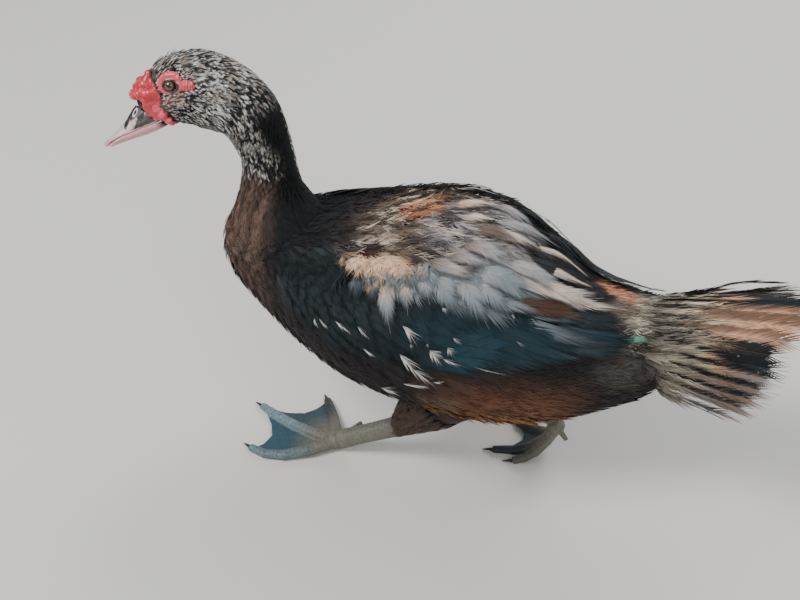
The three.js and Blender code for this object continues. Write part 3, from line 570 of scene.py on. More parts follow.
# Body feathers: contour feathers of keratin, a shaft with barbs that part into locks where they are worn.
# They are rooted in rows in the hide, lie over one another like tiles and point to the tail.
CONTOUR_SHAPE = [(0, 0.35), (0.3, 0.85), (0.65, 1.0), (0.88, 0.8), (1, 0.3)]  # along the shaft and across
LOCK_TAPER = 0.35  # a lock's width near its tip, as a share of its width at the shaft
BAKE_PATCH = 0.0015  # half the patch that a feather has on the bake map


def rows_on(surface, spacing, across, rng, limits):
    """Roots in staggered rows over a surface: shares along and across."""
    u_all, v_all = [], []
    steps = np.linalg.norm(np.diff(surface.points, axis=0), axis=-1).mean(1)
    run = np.concatenate([[0], np.cumsum(steps)])
    count = max(2, int(run[-1] * (limits[1] - limits[0]) / spacing))
    for row in range(count):
        share = limits[0] + (limits[1] - limits[0]) * (row + 0.5) / count
        u = np.interp(share * run[-1], run, np.linspace(0, 1, len(run)))
        v = np.linspace(0, 1, 361)
        ring = surface.at(np.full(len(v), u), v)[0]
        lengths = np.concatenate([[0], np.cumsum(np.linalg.norm(np.diff(ring, axis=0), axis=-1))])
        number = max(3, int(lengths[-1] / across))
        places = (np.arange(number) + 0.5 * (row % 2) + 0.3 * rng.normal(size=number)) / number % 1
        v_all.append(np.interp(places * lengths[-1], lengths, v))
        u_all.append(u + 0.3 * rng.normal(size=number) * spacing / run[-1])
    return np.concatenate(u_all), np.concatenate(v_all)


def lay(surface, u, v, lie, length, sink, rise, stations=4, curve=1.4):
    """Centre lines of feathers that lie on a surface: points and outward directions at each station.

    lie is the angle to the surface's length in radians, sink how deep the root is and rise how high the tip
    stands in mm, and curve how late the line rises."""
    share = np.linspace(0, 1, stations)
    _, _, along, across = surface.at(u, v)
    step_u = np.cos(lie) * length / np.maximum(np.linalg.norm(along, axis=-1), 1)
    step_v = np.sin(lie) * length / np.maximum(np.linalg.norm(across, axis=-1), 20)
    point, out, _, _ = surface.at(u[:, None] + step_u[:, None] * share, v[:, None] + step_v[:, None] * share)
    lift = -np.reshape(sink, (-1, 1)) + np.reshape(sink + rise, (-1, 1)) * share ** curve
    return point + out * lift[..., None], out


def gather(values, places):
    """Values at stations, read between them at shares from 0 to 1 of the way along."""
    f = places * (values.shape[1] - 1)
    i = np.clip(np.floor(f).astype(int), 0, values.shape[1] - 2)
    w = (f - i)[..., None]
    first = np.arange(len(values)).reshape((-1,) + (1,) * (places.ndim - 1))
    return values[first, i] * (1 - w) + values[first, i + 1] * w


def vanes(centre, out, half, paint, root_uv, rng, locks=6, steps=3, sweep=0.35, bare=0.05, ragged=0.12,
          shape=CONTOUR_SHAPE, cup=30.0, tilt=0.0, overlap=0.35, relief=0.25, curl=0.0, shaft=0.0, dim=0.1,
          lost=0.0, shaft_tone=0.7):
    """Feathers as locks of barbs on both sides of their shafts: points, faces, colours and bake places.

    paint takes the points, the share along, the share across from -1 to 1, and a random number for each
    feather and lock. sweep is how far the barbs reach along the shaft, bare the shaft's bare start, ragged
    how unequal the locks are, lost the share of broken ones, cup the radius in mm that the vane is bent to,
    tilt its slope across, overlap and relief how a lock covers the next and stands over it, curl how far the
    locks' ends stray, shaft the shaft's radius in mm, and dim how unequal the locks' tones are."""
    count = len(centre)
    ahead = unit(np.gradient(centre, axis=1))
    across = unit(np.cross(ahead, out))
    raised = np.cross(across, ahead)
    stack = np.concatenate([centre, across, raised], -1)
    start = bare + (1 - bare - sweep) * np.arange(locks) / (locks - 1)
    size = np.clip(1 + ragged * rng.normal(size=(count, 2, locks)), 0.15, 1.3)
    size = np.where(rng.random(size.shape) < lost, 0.35 * size, size)
    t = np.linspace(0, 1, steps)
    t = np.concatenate([np.repeat(t[:-1], 2), [1]])
    edge_side = np.concatenate([np.tile([-1.0, 1.0], steps - 1), [0]])
    taper = 1 - (1 - LOCK_TAPER) * t ** 2
    reach = np.interp(start + sweep, *np.array(shape).T) * np.reshape(half, (-1, 1, 1)) * size
    side = np.array([-1.0, 1.0])[None, :, None]
    thick = 0.5 * (1 - bare - sweep) / (locks - 1) * (1 + overlap)
    along = start[None, None, :, None] + sweep * size[..., None] * t ** 1.25 + thick * edge_side * taper
    beside = side[..., None] * t + 0 * along
    off = (side * reach)[..., None] * t
    place = gather(stack, along.reshape(count, -1)).reshape(along.shape + (9,))
    lift = -off * off / (2 * cup) + tilt * off - relief * edge_side * (1 - 0.5 * t)
    lift = lift + curl * t * t * rng.normal(size=(count, 2, locks, 1))
    points = place[..., :3] + place[..., 3:6] * off[..., None] + place[..., 6:9] * lift[..., None]
    feather_draw = rng.random(count)[:, None, None, None] + 0 * along
    lock_draw = rng.random((count, 2, locks, 1)) + 0 * along
    middle = gather(stack, np.full((count, 1), 0.6))[:, None, None, :, :3]
    tint = paint(0.5 * points + 0.5 * middle, np.clip(along, 0, 1), beside, feather_draw, lock_draw)
    tint = np.clip(tint * (1 + dim * rng.normal(size=(count, 2, locks, 1)))[..., None], 0, 1)
    per = len(t)
    strip = []
    for k in range(steps - 2):
        strip += [(2 * k, 2 * k + 1, 2 * k + 2), (2 * k + 1, 2 * k + 3, 2 * k + 2)]
    strip.append((per - 3, per - 2, per - 1))
    faces = (np.arange(count * 2 * locks) * per)[:, None, None] + np.array(strip)[None]
    own = np.stack([2 * along - 1, beside], -1)
    uv = root_uv[:, None, None, None] + BAKE_PATCH * np.clip(own, -1, 1)
    made = [(points.reshape(-1, 3), faces.reshape(-1, 3), tint.reshape(-1, 3), uv.reshape(-1, 2))]
    if shaft:
        made.append(shafts(stack, shaft, tint.mean((1, 2, 3)) * shaft_tone, root_uv))
    return made


def feather(centre, out, half, paint, root_uv, rng, **form):
    """One feather along its centre line."""
    return vanes(centre[None], out[None], np.array([half]), paint, np.array([root_uv]), rng, **form)


def shafts(stack, radius, colour, root_uv):
    """The shafts of feathers: three-sided, thick at the root and fine at the tip."""
    count, stations = stack.shape[:2]
    share = np.linspace(0, 1, stations)
    thick = radius * (1 - 0.8 * share)[None, :, None]
    centre, across, raised = stack[..., :3], stack[..., 3:6], stack[..., 6:9]
    points = np.stack([centre - across * thick, centre + raised * thick * 1.3, centre + across * thick], 2)
    k = np.arange(stations - 1)[:, None] * 3
    faces = []
    for a, b in ((0, 1), (1, 2), (2, 0)):
        faces.append(np.stack([k + a, k + b, k + 3 + a], -1))
        faces.append(np.stack([k + b, k + 3 + b, k + 3 + a], -1))
    strip = np.concatenate(faces).reshape(-1, 3)
    all_faces = (np.arange(count) * stations * 3)[:, None, None] + strip[None]
    tint = np.broadcast_to(colour[:, None, None], points.shape)
    uv = np.broadcast_to(root_uv[:, None, None], points.shape[:-1] + (2,))
    uv = uv + BAKE_PATCH * (2 * share - 1)[None, :, None, None]
    return points.reshape(-1, 3), all_faces.reshape(-1, 3), tint.reshape(-1, 3), uv.reshape(-1, 2)


def coat_piece(name, parts, material, replaces=()):
    """Joins feathers into one piece."""
    count = np.cumsum([0] + [len(part[0]) for part in parts])
    points, tint, uv = (np.concatenate([part[k] for part in parts]) for k in (0, 2, 3))
    faces = np.concatenate([part[1] + first for part, first in zip(parts, count)])
    return build(name, points, faces, tint, material, replaces, uv=uv)


def field_paint(scatter=4.0, tip=0.18, edge=0.12, root=0.25):
    """Paints feathers by where they lie, read a few mm off it, pale at the rim and dark at the root, a
    painted shade under the feathers that overlap it.
    """
    def paint(points, along, across, feather_draw, lock_draw):
        """Colours at the points, as vanes asks for them."""
        shift = np.stack([feather_draw - 0.5, 0.7 * (lock_draw - 0.5), 0 * along], -1)
        shift = shift + np.stack([0 * along, 0 * along, (feather_draw * 7.3) % 1 - 0.5], -1)
        colour = coat_colour(points + 2 * scatter * shift, 0.8 * feather_draw + 0.2 * lock_draw)
        # Darker towards the root as painted shade under the overlapping feathers, paler towards the tip
        light = 1 - root * smooth(0.5, 0, along) + tip * smooth(0.7, 1, along)
        return colour * (light + edge * smooth(0.5, 1, np.abs(across)))[..., None]
    return paint


def own_paint(places, colours, under=None, rim=None, facing=1):
    """Paints feathers along the shaft, in colours that are full at the shares of places.

    under is the colour of the vane that the next feather shades, a painted shade, and rim the colour of the
    other vane's edge, a painted highlight on the tail's quills and a painted shade line on the wing's long
    feathers."""
    colours = np.array(colours)

    def paint(points, along, across, feather_draw, lock_draw):
        """Colours at the points, as vanes asks for them."""
        ragged = np.clip(along + 0.12 * (lock_draw - 0.5) + 0.06 * np.abs(across), 0, 1)
        tint = np.stack([np.interp(ragged, places, colours[:, k]) for k in range(3)], -1)
        if under is not None:
            tint = mix(tint, under, smooth(0.1, -0.45, across + 0.3 * (lock_draw - 0.5))[..., None])
        if rim is not None:
            tint = mix(tint, rim, smooth(0.6, 0.95, facing * across)[..., None])
        return tint * (0.9 + 0.2 * feather_draw + 0.1 * smooth(0.7, 1, np.abs(across)))[..., None]
    return paint


BARB_MM = 0.8  # barbs are about 0.4 mm apart, and are drawn twice as coarse so that they show
DUST_MM = 9


def feather_material(name, roughness, sheen, gloss):
    """Keratin barbs: satin, with fine grooves and faint darker specks of dust and wear."""
    material, tree, on_surface = new_material(name)
    dust = add(tree, "ShaderNodeTexNoise", on_surface, Scale=1 / (DUST_MM * MM), Detail=4.0).outputs["Fac"]
    barbs = add(tree, "ShaderNodeTexNoise", on_surface, Scale=1 / (BARB_MM * MM), Detail=2.0).outputs["Fac"]
    finish(
        tree, shades=[(dust, 0.78, 1.22), (barbs, 0.72, 1.28)],
        rough=(dust, roughness - 0.1, roughness + 0.1), relief=(barbs, 0.35, 0.3),
        Sheen_Weight=sheen, Sheen_Roughness=0.4, Specular_IOR_Level=gloss,
    )
    return material


# Soft body feathers, whose loose barbs catch a faint sheen
coat_material = feather_material("contour_feather_keratin", roughness=0.65, sheen=0.05, gloss=0.25)

BODY_SPACING = (5.4, 6.0)  # mm between rows, and between feathers in a row
THIGH_SPACING = (4.5, 4.5)
RUMP_SPACING = (5.0, 6.0)
WING_COVERS = (-120, 150, 34, 12)  # x from and to, first angle, and degrees short of the wing's lower edge
rng = np.random.default_rng(11)
u, v = rows_on(body, *BODY_SPACING, rng, (0.02, 0.995))
x = body.at(u, v)[0][:, 0]
angle = np.minimum(v, 1 - v) * 360
covered = (x > WING_COVERS[0]) & (x < WING_COVERS[1]) & (angle > WING_COVERS[2])
covered = covered & (angle < by_x(WING, x)[:, 2] - WING_COVERS[3])
u, v, x, angle = (value[~covered] for value in (u, v, x, angle))
number = len(u)
hem = smooth(-25, 5, x) * smooth(125, 85, x) * smooth(112, 125, angle)
back = smooth(-110, -80, x) * smooth(70, 40, x) * smooth(36, 26, angle)
rear = smooth(150, 185, x) * smooth(70, 90, angle)
past_breast = smooth(-200, -60, x)
length = (17 + 8 * past_breast + 8 * hem + 14 * rear) * (1 + 0.15 * rng.normal(size=number))
half = (5.0 + 1.5 * past_breast) * (1 - 0.3 * hem)
lie = (0.1 + 0.16 * back + 0.2 * hem) * rng.normal(size=number)
rise = 0.6 + 1.2 * back * rng.random(number) + 3.0 * hem * rng.random(number) + 4 * rear
centre, out = lay(body, u, v, lie, length, sink=3.0, rise=rise)
worn = (back + hem) > 0.3
front = (x < -95) & ~worn
for name, chosen, ragged, lost, curl in (
    ("breast_feathers", front, 0.14, 0.03, 0.25),
    ("back_and_hem_feathers", worn, 0.3, 0.2, 0.8),
    ("flank_feathers", ~front & ~worn, 0.14, 0.05, 0.25),
):
    parts = vanes(
        centre[chosen], out[chosen], half[chosen], field_paint(), np.stack([u, v], -1)[chosen], rng,
        ragged=ragged, lost=lost, curl=curl,
    )
    coat_piece(name, parts, coat_material)

parts = []
thigh_paint = own_paint((0, 0.6, 1), (BROWN_BLACK, BREAST_BROWN * 0.6, BREAST_BROWN))
for thigh in thighs.values():
    u, v = rows_on(thigh, *THIGH_SPACING, rng, (0.0, 0.8))
    number = len(u)
    lie = np.pi + 0.12 * rng.normal(size=number)
    length = 13 * (1 + 0.2 * rng.normal(size=number))
    centre, out = lay(thigh, u, v, lie, length, sink=2.0, rise=0.5)
    parts += vanes(centre, out, 3.6, thigh_paint, np.stack([u, v], -1), rng, ragged=0.2)
coat_piece("thigh_feathers", parts, coat_material)

u, v = rows_on(rump, *RUMP_SPACING, rng, (0.0, 0.75))
number = len(u)
length = 26 * (1 + 0.2 * rng.normal(size=number))
centre, out = lay(rump, u, v, 0.14 * rng.normal(size=number), length, sink=3.0, rise=1.0)
paint = field_paint(scatter=5.0)
parts = vanes(centre, out, 5.5, paint, np.stack([u, v], -1), rng, ragged=0.25, lost=0.1, curl=0.8)
coat_piece("rump_feathers", parts, coat_material)

# Head and neck feathers: short and stiff on the face and longer down the neck, each pale-tipped or black, so
# that the head looks mottled. They leave the bare red skin free and stand a little at the crown.
rng = np.random.default_rng(12)
# The rear edge of the bare red skin: up, and forward
FACE_EDGE = [(-34, 6), (-28, 8), (-22, 9.5), (-12, 11), (2, 10), (18, 9), (24, 16)]


def head_paint(points, along, across, feather_draw, lock_draw):
    """Feathers in the mottled colour of their place, each with a paler tip and a root darkened as painted
    shade under the feathers over it.
    """
    light = 1 - 0.6 * smooth(0.5, 0.15, along) + 0.3 * smooth(0.7, 1, along)
    return coat_colour(points, 0.65 * feather_draw + 0.35 * lock_draw) * light[..., None]


HEAD_SPACING = (2.1, 2.3)
NECK_SPACING = (3.3, 3.4)
RING_CENTRE = (-3.5, 0.3)  # middle of the lids' ring in the head's own frame: forward and up
EYE_BARE = 9.0  # radius round it without feathers
head_u, head_v = rows_on(head_neck, *HEAD_SPACING, rng, (0.02, 0.5))
neck_u, neck_v = rows_on(head_neck, *NECK_SPACING, rng, (0.5, 0.97))
u, v = np.concatenate([head_u, neck_u]), np.concatenate([head_v, neck_v])
at = head_neck.at(u, v)[0]
forward, _, up = head_place(at).T
rear_lobe = (forward > -22.5) & (forward < -6) & (abs(up + 3 - 0.4 * (forward + 12)) < 4.2)
red_face = forward > np.interp(up, *np.array(FACE_EDGE).T)
feathered = ~(red_face | rear_lobe | (np.hypot(forward - RING_CENTRE[0], up - RING_CENTRE[1]) < EYE_BARE))
u, v, height, forward, up = (value[feathered] for value in (u, v, at[:, 2], forward, up))
number = len(u)
down = smooth(300, 220, height)
face = smooth(-30, -5, forward) * smooth(-60, -40, up)
crown = smooth(10, 20, up) * smooth(-60, -40, forward)
length = (5.6 + 12 * down - 1.4 * face + 3.0 * crown) * (1 + 0.2 * rng.normal(size=number))
half = 1.2 + 3.0 * down - 0.15 * face
lie = 0.15 * rng.normal(size=number)
tuft = (forward > -8) & (forward < 4) & (up > 15) & (rng.random(number) > 0.7)
length = length + 5 * tuft
rise = 0.5 + 1.4 * crown * rng.random(number) + 2.2 * crown * (rng.random(number) > 0.94) + 4.5 * tuft
centre, out = lay(head_neck, u, v, lie, length, sink=0.9, rise=rise)
for name, chosen, slot in (
    ("head_feathers", u < 0.5, "head_feathers"),
    ("neck_feathers", u >= 0.5, "body_feathers"),
):
    parts = vanes(
        centre[chosen], out[chosen], half[chosen], head_paint, np.stack([u, v], -1)[chosen], rng,
        locks=4, ragged=0.15, relief=0.15,
    )
    coat_piece(name, parts, coat_material)

# Wings: folded against the flanks, fans of quills of keratin under rows of coverts, rooted in the arm's skin.
# The upper ones are bleached and frayed to loose barbs, and new white feathers stand among the dark ones.
QUILL_SHAPE = [(0, 0.5), (0.2, 0.85), (0.6, 1.0), (0.85, 0.95), (0.95, 0.75), (1, 0.35)]
WORN_SHAPE = [(0, 0.6), (0.25, 0.95), (0.45, 1.0), (0.7, 0.72), (0.9, 0.35), (1, 0.12)]
MINT = linear("#5f9480")
RUFOUS = linear("#432c21")
WING_SPAN = (-190, 222)
DEGREE = 1.92  # mm round the body for each degree
# Coverts: root x, length and width
COVERTS = [(-146, 20, 9), (-80, 30, 12), (-30, 42, 16), (30, 58, 20), (70, 66, 22)]
COVERT_END = 62  # x of the last row of coverts
# How the coverts lie: x, and degrees down from the level
WING_LIE = [(-150, 27), (-40, 27), (10, 20), (50, 4), (90, -8), (200, -10)]
# Quills and long shoulder feathers: root x and angle, tip x and angle, width, lift over the wing, colours
# from root to tip, the colour of the lower edge, a painted shade line between it and the next feather, and
# whether the feather is worn to a point
QUILLS = [
    (22, 58, 120, 58, 24, 1.5, (TEAL_BLACK, TEAL, TEAL), TEAL_BLACK, False),
    (34, 54, 138, 54, 22, 2.0, (TEAL_BLACK, TEAL, TEAL), TEAL_BLACK, False),
    (46, 50, 152, 50, 20, 2.5, (TEAL, TEAL, SLATE), TEAL_BLACK, False),
    (60, 46, 172, 50, 18, 3.0, (TEAL, TEAL, SLATE), TEAL_BLACK, False),
    (96, 38, 181, 50, 15, 3.3, (TEAL, SLATE, TEAL), INK, True),
    (70, 38, 190, 40, 16, 3.8, (SILVER, SLATE, TEAL), TEAL_BLACK, True),
    (105, 31, 190, 36, 14, 4.2, (SLATE, TEAL, TEAL_BLACK), INK, True),
    (168, 35, 193, 38, 8, 5.0, (SLATE, MINT, MINT), INK, True),
    (84, 37, 150, 25, 12, 4.8, (SILVER, SLATE, TEAL_BLACK), TEAL_BLACK, True),
    (100, 26, 172, 22, 20, 5.0, (SLATE, TEAL_BLACK, INK), INK, False),
    (20, 64, 88, 60, 26, 3.0, (TEAL_BLACK, TEAL_BRIGHT, TEAL_BRIGHT), TEAL_BLACK, False),
    (8, 68, 76, 66, 26, 3.4, (TEAL_BLACK, TEAL_BRIGHT, TEAL_BRIGHT), TEAL_BLACK, False),
    (-4, 73, 62, 74, 24, 3.6, (TEAL_BLACK, TEAL, TEAL_BRIGHT), TEAL_BLACK, False),
    (62, 37, 137, 15, 19, 4.8, (BREAST_BROWN * 0.6, RUFOUS, BREAST_BROWN * 0.6), BROWN_BLACK, False),
    (84, 14, 165, 9, 19, 5.8, (LILAC, CREAM, LILAC), SLATE, True),
    (54, 21, 142, 3, 22, 6.2, (LILAC, CREAM, LILAC), SLATE, False),
    (80, 4, 128, -2, 12, 6.4, (LILAC, CREAM, CREAM), LILAC, True),
    (45, 42, 98, 33, 16, 5.0, (SLATE, SILVER, SILVER), TEAL_BLACK, True),
    (36, 30, 76, 42, 26, 5.4, (LILAC, SILVER, SLATE), TEAL_BLACK, True),
    (25, 29, 60, 52, 24, 5.2, (LILAC, SILVER, SLATE), INK, True),
    (36, 25, 84, 26, 25, 6.9, (LILAC, SILVER, SILVER), SLATE, False),
    (56, 15, 104, 13, 20, 7.1, (LILAC, LILAC, SILVER), SLATE, False),
    (3, 30, 36, 51, 24, 4.8, (LILAC, SILVER, SLATE), INK, True),
    (-5, 32, 10, 48, 18, 4.6, (CREAM, SILVER, SLATE), INK, True),
    (-17, 37, -6, 55, 16, 4.6, (PEACH, SILVER, SLATE), INK, True),
    (-36, 37, -18, 65, 19, 4.8, (PEACH, SILVER, SLATE), INK, True),
    (-50, 38, -34, 53, 17, 4.2, (PEACH, SLATE, TEAL_BLACK), INK, True),
    (-66, 37, -52, 54, 16, 4.0, (SILVER, SLATE, TEAL_BLACK), INK, True),
    (-7, 25, 40, 31, 17, 6.0, (BACK_BROWN, LILAC, CREAM), BROWN_BLACK, True),
    (7, 21, 50, 24, 17, 6.2, (BACK_BROWN, LILAC, SILVER), BROWN_BLACK, True),
    (15, 13, 62, 16, 18, 5.4, (BACK_BROWN, LILAC, SILVER), BROWN_BLACK, False),
    (18, 5, 68, 2, 18, 5.0, (BACK_BROWN, BREAST_BROWN, LILAC), BROWN_BLACK, True),
    (62, 6, 120, -4, 18, 4.0, (INK, INK, BROWN_BLACK), INK, False),
    (70, -4, 120, -10, 10, 5.5, (CREAM, CREAM, LILAC), INK, True),
    (64, -18, 104, -22, 12, 4.4, (INK, INK, SLATE), INK, True),
    (32, -2, 90, -15, 20, 5.0, (LILAC, LILAC, SILVER), SLATE, True),
    (35, 5, 80, -3, 16, 4.6, (LILAC, CREAM, SILVER), BREAST_BROWN, True),
    (-11, -8, 36, -14, 20, 4.6, (ORANGE_TAN, CREAM, LILAC), BACK_BROWN, True),
    (0, -2, 42, -3, 16, 4.4, (LILAC, CREAM, LILAC), BACK_BROWN, True),
    (16, -17, 66, -13, 20, 4.2, (LILAC, LILAC, SILVER), SLATE, False),
    (-22, -24, 26, -26, 16, 4.0, (BACK_BROWN, LILAC, SILVER), INK, True),
    (4, -30, 60, -26, 18, 4.8, (INK, INK, INK), INK, True),
    (40, -24, 84, -25, 16, 5.2, (INK, INK, INK), INK, True),
    (66, -24, 110, -20, 14, 5.0, (INK, INK, SLATE), INK, True),
]
# The left wing lies over the right one. Of the right one's quills, those that reach nearer to the top than
# TOP_ANGLE are left out, and two dark ones show in their place.
RIGHT_TOP = [
    (66, 38, 136, 30, 18, 4.0, (SLATE, INK, INK), INK, False),
    (96, 34, 176, 28, 18, 4.0, (SLATE, TEAL_BLACK, INK), INK, False),
]
TOP_ANGLE = 32
# White feathers among the coverts: root x and angle, tip x and angle, width
FLECKS = [
    (-92, 69, -87, 74, 4), (-87, 68, -77, 72, 3), (-71, 66, -54, 70, 4), (-49, 65, -37, 70, 4),
    (-41, 76, -29, 79, 4), (-9, 60, 8, 68, 9), (0, 68, 3, 70, 4), (-8, 74, 14, 85, 11), (4, 80, 24, 87, 8),
    (-4, 89, 20, 88, 5), (22, 85, 33, 84, 3), (-24, 95, -6, 96, 8), (17, 69, 29, 75, 11), (28, 72, 45, 74, 5),
    (31, 66, 39, 70, 7), (34, 61, 43, 63, 4), (14, 66, 16, 68, 3), (82, 53, 93, 56, 2), (54, 73, 80, 74, 1.5),
    (20, 48, 27, 51, 4), (58, 42, 64, 42, 2), (74, 40, 77, 42, 2),
]
wing_x = np.linspace(*WING_SPAN, 160)
grid_x, grid_angle = np.meshgrid(wing_x, body_angles, indexing="ij")
winged = Surface(body_section(WINGED, grid_x, grid_angle))


def on_wing(x, angle):
    """Shares along and across the winged body for x and degrees over the left side."""
    first, last = WING_SPAN
    return (np.asarray(x, float) - first) / (last - first), np.asarray(angle, float) / 360


def long_feather(row, side, rng):
    """A feather over the wing. A row is as in QUILLS, side is 1 for the left wing and -1 for the right."""
    x0, angle0, x1, angle1, width, lift, colours, shaded_lower_edge, is_worn = row
    share = np.linspace(0, 1, 14)
    bow = 0.04 * (x1 - x0) * np.sin(np.pi * share) * rng.normal()
    u, v = on_wing(mix(x0, x1, share), side * (mix(angle0, angle1, share) + bow / DEGREE))
    point, out, _, _ = winged.at(u, v)
    centre = point + out * (-1.0 + (lift + 1.0) * np.minimum(1, 2.2 * share))[:, None]
    paint = own_paint((0.15, 0.55, 0.95), colours, rim=shaded_lower_edge, facing=side)
    return feather(
        centre, out, width / 2, paint, (u[0], v[0] % 1), rng, locks=30, steps=4, sweep=0.3,
        shape=WORN_SHAPE if is_worn else QUILL_SHAPE, overlap=0.9, relief=0.1, cup=50, tilt=0.05 * side,
        shaft=0.4, shaft_tone=1.5 if colours[1].mean() > 0.15 else 0.7, ragged=0.08, lost=0.04, curl=0.2,
    )


# Stiff closed vanes, smoother than the body's
wing_material = feather_material("flight_feather_keratin", roughness=0.55, sheen=0.02, gloss=0.2)
for side, name in ((1, "left"), (-1, "right")):
    rng = np.random.default_rng(21 + side)
    parts = []
    x = COVERTS[0][0]
    row = 0
    while x < COVERT_END:
        length, width = (np.interp(x, *np.array(COVERTS).T[[0, k]]) for k in (1, 2))
        _, upper, lower = by_x(WING, x)
        tall = lower - upper
        count = int(tall * DEGREE / (0.55 * width))
        angle = upper + tall * (np.arange(count) + 0.5 * (row % 2) + 0.15 * rng.normal(size=count)) / count
        # The lower ones rise to the rear
        down = np.interp(x, *np.array(WING_LIE).T) - 26 * ((angle - upper) / tall) ** 2 * smooth(-30, 30, x)
        u, v = on_wing(x + 3 * rng.normal(size=count), side * angle)
        lie = side * np.radians(down + 4 * rng.normal(size=count))
        long = length * (1 + 0.08 * rng.normal(size=count))
        centre, out = lay(winged, u, v, lie, long, sink=1.0, rise=1.6, stations=10, curve=0.7)
        paint = field_paint(scatter=3.0, tip=0.0, edge=0.03, root=0.1)
        parts += vanes(
            centre, out, width / 2, paint, np.stack([u, v % 1], -1), rng,
            locks=16, steps=4, sweep=0.28, shape=QUILL_SHAPE, cup=80, tilt=0.05 * side, shaft=0.2,
            ragged=0.14, lost=0.04,
        )
        x += 0.3 * length
        row += 1
    quills = QUILLS
    if side < 0:
        quills = [quill for quill in QUILLS if min(quill[1], quill[3]) >= TOP_ANGLE] + RIGHT_TOP
    for quill in quills:
        parts += long_feather(quill, side, rng)
    coat_piece(f"wing_feathers_{name}", parts, wing_material, (f"wing_{name}",))

# Back and shoulder feathers: keratin, bleached and frayed, so that its locks stand apart with dark gaps. They
# are rooted at random over the shoulders, point to the tail and lie on the wings' upper coverts.
BACK_AREA = (-108, 62, -36, 36)  # x from and to, and angle from and to
FRINGE_AREA = (-88, -4, 25, 33)
parts = []
rng = np.random.default_rng(5)
for count, area, long, width, down, lift, spread in (
    (620, BACK_AREA, 30, 9, 6, 3.0, 14),
    (110, FRINGE_AREA, 26, 9, 62, 5.5, 14),
):
    x = rng.uniform(area[0], area[1], count)
    angle = rng.uniform(area[2], area[3], count)
    order = np.argsort(-x)
    u, v = on_wing(x[order], angle[order])
    lie = np.radians(down + spread * rng.normal(size=count))
    length = long * (1 + 0.2 * rng.normal(size=count))
    rise = lift * (0.5 + rng.random(count))
    centre, out = lay(winged, u, v, lie, length, sink=1.0, rise=rise, stations=6, curve=0.8)
    half = width * (0.35 + 0.3 * rng.random(count))
    parts += vanes(
        centre, out, half, field_paint(scatter=3.0, tip=0.15, edge=0.1), np.stack([u, v % 1], -1), rng,
        locks=9, steps=3, sweep=0.35, cup=30, ragged=0.3, lost=0.25, curl=1.0,
    )
coat_piece("back_feathers", parts, coat_material)

# White feathers: new ones of keratin among the dark coverts of both wings, narrow and curled in from their
# sides. They are rooted in the wing and stand a little over the coverts.
FLECK_LIFT = 4.2
parts = []
for side in (1, -1):
    paint = own_paint((0, 0.2, 1), (SLATE, HEAD_WHITE, HEAD_WHITE * 1.15), rim=LILAC, facing=side)
    for x0, angle0, x1, angle1, width in FLECKS:
        shift = 0 if side > 0 else 6 * rng.normal()
        u, v = on_wing(np.linspace(x0, x1, 5) + shift, side * np.linspace(angle0, angle1, 5))
        point, out, _, _ = winged.at(u, v)
        parts += feather(
            point + out * FLECK_LIFT, out, 0.7 * width, paint, (u[0], v[0] % 1), rng,
            locks=9, steps=3, sweep=0.5, shape=WORN_SHAPE, ragged=0.35, lost=0.15, cup=14,
        )
coat_piece("white_feathers", parts, coat_material)

# Tail: broad quills of keratin in a fan vaulted like a roof, rooted in the rump under rows of coverts. The
# quills are bleached and frayed, so that their barbs stand apart at the ends and dark gaps show between.
VAULT_ROOT = (50, 32, 184)  # half width, rise and height of the fan's vault at the roots
VAULT_TIP = (90, 40, 197)
ROOT_X = 196
MIDDLE_TIP = 328
OUTER_TIP = 272
TAIL_SPAN = 130  # degrees from the top to an edge of the fan
FAN_OPENING = 0.86
# Wide at the middle, with barbs that stand out at the end
TAIL_SHAPE = [(0, 0.4), (0.3, 0.85), (0.6, 1.0), (0.85, 1.05), (0.95, 0.9), (1, 0.5)]
RECTRIX_TAN = linear("#cb9c7a")
RECTRIX_PINK = linear("#7c6a5f")
RECTRIX_GREY = linear("#857a72")
COVERT_OLIVE = linear("#a09884")
TAIL_DARK = linear("#17181a")


def on_vault(angle, t, lift):
    """A place on the tail's vault: angle in degrees over the left side, t from the roots to the tips."""
    tip_x = MIDDLE_TIP - (MIDDLE_TIP - OUTER_TIP) * (np.abs(angle) / TAIL_SPAN) ** 1.6
    turn = np.radians(angle * (1 + (FAN_OPENING - 1) * t))
    half, rise, height = (mix(root, tip, t) for root, tip in zip(VAULT_ROOT, VAULT_TIP))
    out = np.stack([0 * turn, -np.sin(turn), np.cos(turn)], -1)
    place = np.stack([mix(ROOT_X, tip_x, t), out[..., 1] * half, height + out[..., 2] * rise], -1)
    return place + out * lift[..., None], out


def tail_root(angle, back):
    """Where a feather of the tail lies on the bake map."""
    return 0.1 + 0.8 * (angle + TAIL_SPAN) / (2 * TAIL_SPAN), back


